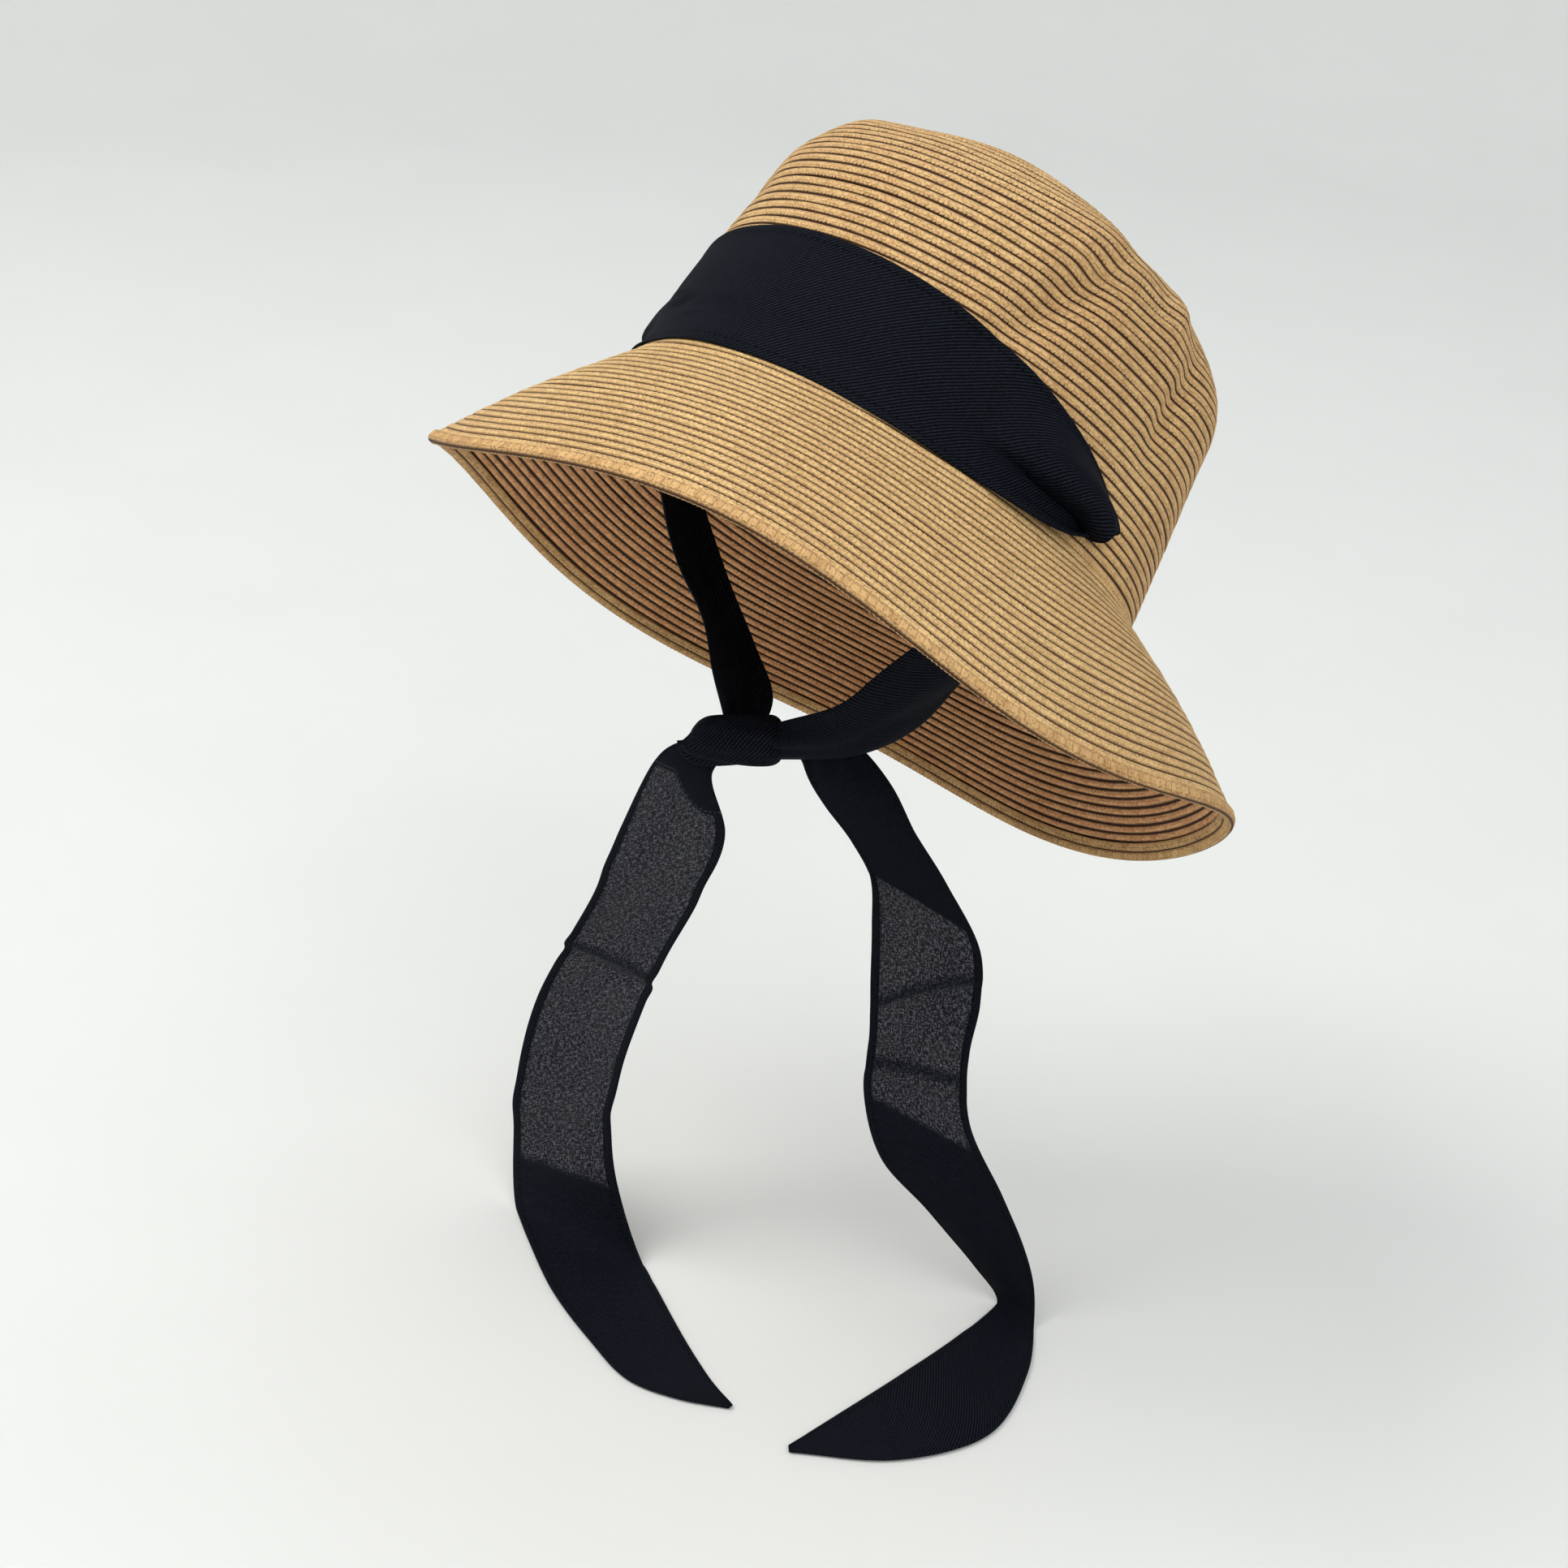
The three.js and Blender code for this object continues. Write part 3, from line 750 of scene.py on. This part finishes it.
def knot_radii(s, angle):
    """Half the height and depth of the roll all round it, pleats included, at s from -1 to 1 along it."""
    end = (1 - abs(s) ** (7 if s < 0 else 9)) ** 0.5
    swell = 1 + 0.05 * math.cos(2.6 * s) + 0.05 * s
    pinch = 1 - 0.10 * smoothstep(-s, 0.55, 1.0)
    ridge = 0.45 * np.sin(2 * angle + 1.8 * s + 0.6) + 0.34 * np.sin(5 * angle - 2.4 * s)
    ridge = ridge + 0.22 * np.sin(9 * angle + 3.3 * s + 1.0) * (0.4 + abs(s))
    fold = -1.5 * hump(((angle - 2.1 + 0.5 * s + math.pi) % TAU) - math.pi, 0, 0.16)
    fold = fold - 1.1 * hump(((angle - 5.2 + 0.3 * s + math.pi) % TAU) - math.pi, 0, 0.2)
    grow = np.maximum(end, 0.02) * swell * pinch
    return (KNOT_HEIGHT + ridge + fold) * grow, (KNOT_DEPTH + ridge + fold) * grow


def knot_roll(material):
    """The scarf wound once round itself: a short thick roll with its pleats running over it."""
    axis = KNOT_RIGHT - KNOT_LEFT
    length = np.linalg.norm(axis)
    axis = axis / length
    up = np.array([0, 0, 1.0]) - axis * axis[2]
    up /= np.linalg.norm(up)
    depth = np.cross(axis, up)
    stations = np.linspace(-1, 1, 110)
    around = 240
    angle = np.arange(around) / around * TAU
    middle = lerp(KNOT_LEFT, KNOT_RIGHT, 0.5)
    rings = []
    shear = 2.4 * np.sin(angle)
    for s in stations:
        radius_up, radius_depth = knot_radii(s, angle)
        rings.append(
            middle + axis * (s * length / 2 + shear * (s < 0) * abs(s))[:, None]
            + up * (radius_up * np.sin(angle))[:, None] + depth * (radius_depth * np.cos(angle))[:, None]
        )
    points = np.concatenate(rings)
    faces, ring, step = ring_faces(len(stations), around, False)
    u = round_corners(step, around, 52)
    v = rising_corners(stations[ring], stations[ring + 1]) * 14 + 20
    caps = np.concatenate([cap_faces(0, around)[:, ::-1], cap_faces((len(stations) - 1) * around, around)])
    faces = np.concatenate([faces, caps])
    u, v = np.concatenate([u, np.full(caps.shape, 20.0)]), np.concatenate([v, np.full(caps.shape, 20.0)])
    piece = closed_mesh("knot_roll", points, faces, u, v, material)
    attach(piece, "chin_loop")
    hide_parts("knot_wrap", "knot_core")


# The tails hang from the knot and lie on the table at their ends: (outer edge, inner edge).
RIGHT_TAIL = (
    [
        (-21, -63, -74), (-32, -61, -79), (-41, -61, -89), (-56, -60, -121), (-66, -60, -150),
        (-80, -60, -178), (-94, -60, -208), (-101, -60, -237), (-104, -60, -268), (-101, -63, -289),
        (-92, -70, -298), (-74, -81, -298), (-48, -95, -298), (-20, -105, -298), (5, -111, -298),
        (24, -106, -298), (40, -97, -298),
    ],
    [
        (-14, -57, -74), (-15, -57, -79), (-17, -59, -86), (-9, -60, -104), (-19, -60, -134),
        (-32, -60, -163), (-42, -60, -191), (-51, -60, -220), (-54, -60, -243), (-51, -60, -264),
        (-44, -60, -284), (-34, -61, -298), (-22, -67, -298), (-5, -76, -298), (11, -84, -298),
        (27, -91, -298), (40, -95, -298),
    ],
)
LEFT_TAIL = (
    [
        (6, -44, -72), (8, -43, -78), (15, -38, -91.5), (22, -31, -105), (27, -26, -119),
        (29, -25, -138), (30, -24, -160), (31, -23, -182), (31, -23, -206), (38, -18, -234),
        (52, -5, -256), (66, 8, -280), (73, 16, -298), (74, -8, -298), (72, -42, -298),
        (69, -75, -298), (67, -97, -298),
    ],
    [
        (15, -34, -67), (21.5, -30, -72), (30.5, -24, -84), (38, -18.5, -100), (47, -8.5, -121.5),
        (58.5, -1.5, -145), (60, 0, -166), (58.5, -0.5, -189), (61, 1, -216), (73, 10, -246),
        (81, 16, -268), (86, 19, -286), (91, 14, -298), (104, -8, -298), (113, -44, -298),
        (98, -76, -298), (69, -99, -298),
    ],
)
# Creases across a tail: (distance along its cloth, slant, depth, half width)
RIGHT_TAIL_CREASES = [
    (105.0, 0.31, 1.3, 2.8),
    (111.0, 0.31, -1.1, 3.2),
    (62.0, 0.1, 0.9, 7.0),
    (186.0, 0.1, 1.2, 7.0),
]
LEFT_TAIL_CREASES = [
    (116.0, -0.48, 1.4, 3.0),
    (122.0, -0.48, -1.1, 3.2),
    (141.0, 0.02, 2.0, 3.0),
    (134.0, 0.0, -1.2, 4.0),
]
# Where each tail swings, below the knot, as in the CAD part's joints.
LEFT_PIVOT = np.array([19.0, -35.0, -82.0])
RIGHT_PIVOT = np.array([-28.0, -60.5, -84.0])
CAMERA_WAY = np.array([0.55, -0.75, 0.3])  # roughly towards the camera, the side that cloth bows to


def tail_grid(edges, creases):
    """A hanging tail's middle surface [along, across], bowed towards the camera and lying at its end."""
    q = np.linspace(0, 1, 420)
    outer, inner = catmull(edges[0], q), catmull(edges[1], q)
    w = np.linspace(0, 1, 64)
    grid = outer[:, None] + (inner - outer)[:, None] * w[None, :, None]
    normal = grid_normals(grid)
    normal = normal * np.where((normal @ CAMERA_WAY).sum() < 0, -1, 1)
    hanging = smoothstep(grid[..., 2], -297.0, -262.0) * smoothstep(q, 0.01, 0.12)[:, None]
    lift = 0.6 * np.sin(q[:, None] * 31) * np.cos(w[None, :] * 3.1) * hanging
    lift = lift + 2.6 * (1 - (2 * w[None, :] - 1) ** 2) * np.sin(q[:, None] * 11 + 0.6) * hanging
    along = lengths_along(grid)[:, None]
    for start, slant, deep, half_width in creases:
        lift = lift + deep * hump(along - slant * SCARF_WIDTH * w, start, half_width) * hanging
    gather = 1 - smoothstep(q, 0.0, 0.11)[:, None]
    lift = lift + gather * 0.9 * np.sin(w[None, :] * TAU * 3 + q[:, None] * 40)
    grid = grid + normal * lift[..., None]
    lying = 1 - smoothstep(grid[..., 2], -297.5, -280.0)
    ripple = 0.25 * np.sin(q[:, None] * 60 + w[None, :] * 4)
    grid[..., 2] = np.maximum(grid[..., 2], FLOOR + 0.7 + lying * (0.3 + ripple))
    return grid


def blend_at_knot(piece, pivot):
    """Bakes a piece's placement into its mesh; the 16 mm about the tail's pivot, from the knot to its tail,
    is worked out but not used.
    """
    start, end = (pivot + [0, 0, 6]) * MM, (pivot - [0, 0, 10]) * MM
    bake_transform(piece)
    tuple(start)
    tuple(end)


def tail(word, grid, pivot, material):
    """A tail, named left or right."""
    piece = cloth(f"tail_{word}_cloth", grid, material)
    blend_at_knot(piece, pivot)
    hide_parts(f"tail_{word}")


def tail_turn(grid, material):
    """The left tail's second layer just below the knot, where the scarf turns over on itself."""
    columns = grid.shape[1]
    w = np.linspace(0, 1, columns)
    first, last_inner, last_outer = 14, 100, 124
    share = np.linspace(0, 1, 130)[:, None]
    place = first + share * (lerp(last_inner, last_outer, w)[None, :] - first)
    low = place.astype(int)
    part = (place - low)[..., None]
    column = np.arange(columns)[None, :] + 0 * low
    layer = grid[low, column] * (1 - part) + grid[low + 1, column] * part
    normal = grid_normals(layer)
    normal = normal * np.where((normal @ CAMERA_WAY).sum() < 0, -1, 1)
    bow = 1.4 + 1.2 * np.sin(math.pi * w)[None, :] * smoothstep(share, 0.0, 0.4)
    piece = cloth("tail_left_turn", layer + normal * bow[..., None], material)
    blend_at_knot(piece, LEFT_PIVOT)


def sweatband(material):
    """A folded woven tape sewn round the inside of the crown."""
    around = 480
    turn = np.arange(around) / around * TAU
    section = [  # (height up the crown, how far in from its outer face)
        (17.0, 3.0), (17.3, 3.4), (24.0, 3.55), (30.0, 3.6), (36.0, 3.55), (41.6, 3.4), (42.0, 3.0),
        (41.6, 2.7), (30.0, 2.65), (17.3, 2.7),
    ]
    rings = []
    for height, inset in section:
        ripple = 0.2 * np.sin(40 * turn + height * 0.2) + 0.25 * np.sin(7 * turn)
        inward = inset + height * math.tan(CROWN_TAPER) + ripple * (inset > 3.2)
        x = (HALF_WIDTH - inward) * np.cos(turn)
        y = (HALF_LENGTH - inward) * np.sin(turn)
        rings.append(np.stack([x, y, np.full(around, height)], axis=-1))
    points = np.concatenate(rings)
    faces, ring, step = ring_faces(len(rings), around, True)
    heights = np.array([height for height, _ in section])
    after = (ring + 1) % len(rings)
    u = round_corners(step, around, 570)
    v = rising_corners(heights[ring], heights[after])
    piece = closed_mesh("sweatband_tape", lean(points), faces, u, v, material)
    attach(piece, "hat")
    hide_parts("sweatband")


# ---------- materials ----------


class Shader:
    """A material's nodes, written as sums."""

    def __init__(self, name):
        self.material = bpy.data.materials.new(name)
        self.material.use_nodes = True
        self.tree = self.material.node_tree
        self.surface = self.tree.nodes["Principled BSDF"]

    def node(self, kind, settings=None, **inputs):
        made = self.tree.nodes.new(kind)
        for key, value in (settings or {}).items():
            setattr(made, key, value)
        for key, value in inputs.items():
            self.plug(made.inputs[key.replace("_", " ")], value)
        return made

    def plug(self, socket, value):
        if isinstance(value, Term):
            value = value.socket
        if isinstance(value, bpy.types.NodeSocket):
            self.tree.links.new(value, socket)
        else:
            socket.default_value = value

    def math(self, operation, *values):
        made = self.tree.nodes.new("ShaderNodeMath")
        made.operation = operation
        for socket, value in zip(made.inputs, values):
            self.plug(socket, value)
        return Term(self, made.outputs[0])

    def uv(self):
        parts = self.node("ShaderNodeSeparateXYZ", Vector=self.node("ShaderNodeTexCoord").outputs["UV"])
        return Term(self, parts.outputs[0]), Term(self, parts.outputs[1])

    def place(self):
        return self.node("ShaderNodeTexCoord").outputs["Object"]

    def vector(self, x, y, z=0.0):
        return self.node("ShaderNodeCombineXYZ", X=x, Y=y, Z=z).outputs[0]

    def noise(self, vector, scale, detail=2.0, roughness=0.5):
        made = self.node("ShaderNodeTexNoise", Vector=vector, Scale=scale, Detail=detail, Roughness=roughness)
        return Term(self, made.outputs[0])

    def white(self, vector):
        return Term(self, self.node("ShaderNodeTexWhiteNoise", Vector=vector).outputs[0])

    def step(self, value, low, high):
        made = self.node("ShaderNodeMapRange", {"interpolation_type": "SMOOTHSTEP"}, Value=value)
        self.plug(made.inputs["From Min"], low)
        self.plug(made.inputs["From Max"], high)
        return Term(self, made.outputs[0])

    def mix(self, share, a, b):
        made = self.node("ShaderNodeMix", {"data_type": "RGBA"})
        for socket, value in ((made.inputs[0], share), (made.inputs[6], a), (made.inputs[7], b)):
            self.plug(socket, value)
        return made.outputs[2]

    def bump(self, height, strength, distance):
        made = self.node("ShaderNodeBump", Height=height, Strength=strength, Distance=distance)
        self.plug(self.surface.inputs["Normal"], made.outputs[0])

    def set(self, **inputs):
        for key, value in inputs.items():
            self.plug(self.surface.inputs[key.replace("_", " ")], value)


class Term:
    """A node's output on which sums can be done, each sum making a new node."""

    def __init__(self, shader, socket):
        self.shader, self.socket = shader, socket

    def __add__(self, other):
        return self.shader.math("ADD", self, other)

    def __sub__(self, other):
        return self.shader.math("SUBTRACT", self, other)

    def __rsub__(self, other):
        return self.shader.math("SUBTRACT", other, self)

    def __mul__(self, other):
        return self.shader.math("MULTIPLY", self, other)

    def __truediv__(self, other):
        return self.shader.math("DIVIDE", self, other)

    __radd__ = __add__
    __rmul__ = __mul__

    def floor(self):
        return self.shader.math("FLOOR", self)

    def fract(self):
        return self.shader.math("FRACT", self)

    def sine(self):
        return self.shader.math("SINE", self)

    def abs(self):
        return self.shader.math("ABSOLUTE", self)

    def most(self, other):
        return self.shader.math("MAXIMUM", self, other)

    def least(self, other):
        return self.shader.math("MINIMUM", self, other)


def rgb(red, green, blue):
    """A colour given as it looks on a screen, 0 to 255."""
    linear = [((c / 255 + 0.055) / 1.055) ** 2.4 if c > 10 else c / 255 / 12.92 for c in (red, green, blue)]
    return (*linear, 1.0)


def straw_material(name, light, dark, groove, tooth_strength, groove_width):
    """Paper-straw braid. U counts stitches along a row and V counts rows."""
    s = Shader(name)
    u, v = s.uv()
    wander = s.noise(s.vector(u * 0.35, v), 1.0, 1.0)
    row = v.floor()
    share = v.fract()
    offset = s.white(s.vector(row, 3.0))
    along = u + (wander - 0.5) * 0.9 + offset

    # The dark line between two rows, painted in the groove colour: painted shade where one row's edge lies
    # over the next.
    to_groove = (share - 0.5).abs() * -1.0 + 0.5
    ragged = s.noise(s.vector(along * 1.6, v * 2.0), 1.0, 2.0)
    dark_line = 1.0 - s.step(to_groove, groove_width * 0.3, ragged * 0.12 + groove_width)

    # The slanted gaps between the stitches at a row's lower edge, painted in the groove colour as the shade
    # in them.
    leaning = along - share * 0.55
    tooth = (leaning.fract() - 0.5).abs() * 2.0
    tooth_width = 0.46 - share * 1.15
    gap = s.step(tooth_width - tooth, 0.0, 0.16) * (1.0 - s.step(share, 0.27, 0.36))
    gap_varies = s.step(s.noise(s.vector(along * 0.3, row * 3.1), 1.0, 2.0), 0.32, 0.56)
    gap = gap * gap_varies * tooth_strength

    # The plaited strands over the rest of the row: their edges, fibres and specks.
    bent = share + (s.noise(s.vector(along * 0.7, v * 1.5), 1.0, 2.0) - 0.5) * 0.16
    brick_row = (bent * 2.6).floor()
    brick = (along * 0.62 + brick_row * 0.5 + bent * 0.3).fract()
    tick = 1.0 - s.step((brick - 0.5).abs(), 0.0, 0.08)
    strand = (bent * 2.6).fract()
    lengthwise = 1.0 - s.step((strand - 0.5).abs() * -1.0 + 0.5, 0.03, 0.15)
    broken = s.step(s.noise(s.vector(along * 0.9, v * 2.6), 1.0, 1.0), 0.42, 0.58)
    fibres = s.noise(s.vector(along * 2.2, v * 9.0), 1.0, 3.0, 0.75)
    specks = s.step(s.noise(s.vector(along * 2.6, v * 6.0), 1.0, 2.0, 0.6), 0.56, 0.70)
    marks = (tick * 0.75).most(lengthwise * broken * 0.9) * s.step(share, 0.12, 0.28)

    # Each strand's own tone, with slow patches.
    stitch_tone = s.white(s.vector((along * 0.62 + brick_row * 0.5).floor(), row * 3.0 + brick_row))
    patch = s.noise(s.place(), 22.0, 3.0)
    tone = stitch_tone * 0.22 + fibres * 0.85 + patch * 0.4 - 0.33
    colour = s.mix(s.step(tone, 0.08, 0.72), dark, light)
    colour = s.mix((marks * 0.55).most(specks * 0.4), colour, groove)
    # Painted shade: the lines between rows and the gaps between stitches take the dark groove colour.
    colour = s.mix(dark_line.most(gap) * 0.97, colour, groove)
    rounded = s.step(to_groove, 0.0, 0.2)
    height = rounded * 0.9 - gap * 0.8 - marks * 0.4 - specks * 0.3 + fibres * 0.5 + stitch_tone * 0.1
    s.bump(height, 0.9, 0.0006)
    s.set(Base_Color=colour, Roughness=0.62 + fibres * 0.25, Specular_IOR_Level=0.32)
    return s.material


def make_sheer(s, u, v, colour, thread, slack, from_edge, sheer):
    """Lets light through cloth between its hems, and returns its colour. `sheer` gives where along the
    cloth that starts, how far later the far edge starts, where it ends with its slant, and the folded
    creases in it as (distance, slant). Past its end the cloth is made opaque, as painted shade for the
    shadow that darkens the tail towards the table."""
    starts, later, ends, slant, creases = sheer
    weave = s.noise(s.vector(u * 0.55, v * 1.7), 1.0, 2.0, 0.7) * 0.5
    weave = weave + s.noise(s.vector(u * 1.7, v * 0.55), 1.0, 2.0, 0.7) * 0.5
    # Painted shade: past its end, towards the table, the voile is made opaque for the shadow that makes it
    # look black there.
    opaque_shade_past_end = s.step(u - v * slant + slack * 4.0, ends, ends + 4.0)
    seam = u - s.step(v, 18.0, 40.0) * later
    before = 1.0 - s.step(seam, starts, starts + 1.5)
    hem = 1.0 - s.step(from_edge, HEM - 0.25, HEM + 0.05)
    shut = hem.most(opaque_shade_past_end).most(before)
    for distance, lean_over in creases:
        off_crease = (u - v * lean_over + (thread - 0.5) * 2.0 + slack * 3.0 - 1.5 - distance).abs()
        shut = shut.most((1.0 - s.step(off_crease, 0.5, 4.0)) * (thread * 0.6 + 0.4))
    thin = (weave - 0.5) * -0.5 + 0.89 + (slack - 0.5) * 0.15
    s.set(Alpha=shut + (1.0 - shut) * thin.least(0.99))
    # Painted light: where the voile is thinnest, its colour is lifted towards grey for the light that comes
    # through it.
    colour = s.mix((1.0 - shut) * s.step(weave, 0.48, 0.59), colour, rgb(84, 82, 90))
    sewn = 1.0 - s.step((seam - (starts - 0.6)).abs(), 0.15, 0.4)
    sewn = sewn * s.step((v * TAU / 2.0).sine(), -0.2, 0.2)
    return s.mix(sewn * 0.6, colour, rgb(70, 72, 80))


def scarf_material(name, sheer=None):
    """Fine black cloth with stitched hems and painted sheen on its twill. U and V are millimetres of flat
    cloth.
    """
    s = Shader(name)
    u, v = s.uv()
    drift = s.noise(s.vector(u * 0.03, v * 0.03), 1.0, 2.0)
    rib = ((u * -0.65 + v * 0.76 + drift * 2.0) * TAU / 1.0).sine() * 0.5 + 0.5
    cross = ((u + v * 0.1) * TAU / 0.8).sine() * 0.5 + 0.5
    thread = s.noise(s.vector(u * 0.6, v * 1.8), 1.0, 3.0, 0.7)
    slack = s.noise(s.vector(u * 0.02, v * 0.05), 1.0, 2.0)
    from_edge = v.least(v * -1.0 + SCARF_WIDTH)
    on_seam = 1.0 - s.step((from_edge - (HEM - 0.8)).abs(), 0.15, 0.4)
    stitch = on_seam * s.step((u * TAU / 2.4).sine(), -0.2, 0.2)
    # Painted sheen: the twill's ribs and threads go from near-black up to a bluish grey, standing in for
    # their highlights.
    rib_and_thread_sheen = rib * 0.38 + cross * 0.12 + thread * 0.65 - 0.05
    colour = s.mix(s.step(rib_and_thread_sheen, 0.35, 0.85), rgb(1, 1, 1), rgb(28, 33, 45))
    if sheer:
        colour = make_sheer(s, u, v, colour, thread, slack, from_edge, sheer)
    # Painted shade: the hem's stitch line is kept near-black, as the shade in its dent.
    colour = s.mix(stitch * 0.85, colour, rgb(1, 1, 2))
    height = rib * 0.6 + cross * 0.3 + thread * 0.5 - stitch * 1.2
    s.bump(height, 0.6, 0.0003)
    s.set(Base_Color=colour, Roughness=thread * 0.25 + 0.62, Specular_IOR_Level=0.05)
    return s.material


def tape_material():
    s = Shader("woven_tape")
    u, v = s.uv()
    warp = (u * TAU / 0.8).sine() * 0.5 + 0.5
    weft = (v * TAU / 0.6).sine() * 0.5 + 0.5
    soil = s.noise(s.vector(u * 0.02, v * 0.05), 1.0, 4.0)
    colour = s.mix(warp * 0.3 + weft * 0.3 + soil * 0.4, rgb(176, 158, 124), rgb(222, 208, 178))
    s.bump(warp * weft, 0.5, 0.0003)
    s.set(Base_Color=colour, Roughness=0.8 + soil * 0.15)
    return s.material


def wire_material():
    s = Shader("spring_wire")
    drawn = s.noise(s.place(), 900.0, 3.0)
    colour = s.mix(drawn, rgb(96, 98, 102), rgb(160, 160, 162))
    s.set(Base_Color=colour, Metallic=0.9, Roughness=0.3 + drawn * 0.3)
    s.bump(drawn, 0.2, 0.0001)
    return s.material


def plain_stage_material():
    s = Shader("pale_paper")
    grain = s.noise(s.place(), 9.0, 4.0)
    s.set(Base_Color=s.mix(grain, rgb(214, 215, 212), rgb(219, 220, 217)), Roughness=0.85)
    s.bump(s.noise(s.place(), 1500.0, 2.0), 0.02, 0.0002)
    return s.material


# ---------- stage and light ----------


def make_stage():
    """A round floor with a wall that curves up all round it, so it is plain from every side."""
    around, radius, bend, top = 96, 2700.0, 1000.0, 2400.0
    angles = np.linspace(0, math.pi / 2, 16)
    arc = [(radius - bend + bend * math.sin(a), bend - bend * math.cos(a)) for a in angles]
    profile = np.array([(0.0, 0.0), (600.0, 0.0)] + arc + [(radius, top)])
    turn = np.arange(around) / around * TAU
    reach, height = profile[:, 0][:, None], profile[:, 1][:, None] + FLOOR
    points = np.stack([reach * np.cos(turn), reach * np.sin(turn), height + 0 * turn], axis=-1)
    faces = ring_faces(len(profile), around, False)[0]
    corner_uv = np.zeros((faces.size, 2))
    floor = make_mesh("floor", points.reshape(-1, 3), faces, corner_uv, plain_stage_material())


def area_light(name, place, aim, size, power, colour=(1, 1, 1)):
    data = bpy.data.lights.new(name, "AREA")
    data.shape = "RECTANGLE"
    data.size, data.size_y = size
    data.energy = power
    data.color = colour
    lamp = bpy.data.objects.new(name, data)
    lamp.location = place
    lamp.rotation_mode = "QUATERNION"
    lamp.rotation_quaternion = (Vector(aim) - Vector(place)).to_track_quat("-Z", "Y")
    bpy.context.scene.collection.objects.link(lamp)


def make_light():
    world = bpy.data.worlds.new("studio")
    bpy.context.scene.world = world
    world.use_nodes = True
    tree = world.node_tree
    background = tree.nodes["Background"]
    background.inputs[0].default_value = (0.93, 0.96, 1.0, 1)
    parts = tree.nodes.new("ShaderNodeSeparateXYZ")
    overhead = tree.nodes.new("ShaderNodeMapRange")
    for name, value in (("From Min", -0.1), ("From Max", 0.9), ("To Min", 0.22), ("To Max", 1.12)):
        overhead.inputs[name].default_value = value
    tree.links.new(tree.nodes.new("ShaderNodeTexCoord").outputs["Generated"], parts.inputs[0])
    tree.links.new(parts.outputs[2], overhead.inputs["Value"])
    tree.links.new(overhead.outputs[0], background.inputs[1])
    area_light("key", (-0.9, -0.9, 1.7), (0, 0, -0.1), (1.2, 1.2), 26.0, (1.0, 0.98, 0.95))
    area_light("fill", (1.5, -0.8, 1.3), (0, 0, -0.1), (1.6, 1.6), 15.0)
    bpy.context.scene.view_settings.view_transform = "Standard"


# ---------- the hat ----------

make_camera()
make_stage()
make_light()

# Each straw's groove colour is painted shade, for the lines between its rows and the gaps between its
# stitches; it also tints the strands' own marks and specks more faintly.
crown_straw = straw_material(
    "crown_straw_braid", light=rgb(230, 192, 134), dark=rgb(194, 148, 96), groove=rgb(56, 23, 10),
    tooth_strength=0.95, groove_width=0.115,
)
brim_straw = straw_material(
    "brim_straw_braid", light=rgb(236, 199, 138), dark=rgb(200, 157, 102), groove=rgb(72, 34, 14),
    tooth_strength=0.85, groove_width=0.125,
)
# Painted shade: the brim's underside and the crown's inside get their own redder copy of the straw, with
# darker, wider grooves.
shaded_straw = straw_material(
    "shaded_inner_straw_braid", light=rgb(246, 190, 134), dark=rgb(194, 131, 84), groove=rgb(40, 16, 8),
    tooth_strength=0.95, groove_width=0.20,
)
edge_straw = straw_material(
    "edge_straw_braid", light=rgb(222, 181, 123), dark=rgb(178, 134, 84), groove=rgb(66, 32, 14),
    tooth_strength=0.95, groove_width=0.11,
)

crown_pieces(crown_straw, shaded_straw)
brim_pieces(brim_straw, shaded_straw)
edge_braid(edge_straw)
sweatband(tape_material())
wire = wire_material()
for node in ("brim_edge_wire", "wire_joiner"):
    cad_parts[node].material_slots[0].material = wire

scarf_cloth = scarf_material("scarf_twill")
scarf_band(scarf_cloth)
for side in (1, -1):
    scarf_pass(side, scarf_cloth)
    chin_strap(side, scarf_cloth)
knot_roll(scarf_cloth)
# The third number in each is where that tail's voile turns opaque, as painted shade towards the table.
right_sheer = scarf_material("scarf_voile_right", (19.0, 16.0, 210.0, 0.29, [(106.0, 0.31)]))
left_sheer = scarf_material("scarf_voile_left", (8.0, 6.0, 157.0, 0.3, [(117.0, -0.48), (141.0, 0.0)]))
left_grid = tail_grid(LEFT_TAIL, LEFT_TAIL_CREASES)
tail("right", tail_grid(RIGHT_TAIL, RIGHT_TAIL_CREASES), RIGHT_PIVOT, right_sheer)
tail("left", left_grid, LEFT_PIVOT, left_sheer)
tail_turn(left_grid, scarf_cloth)
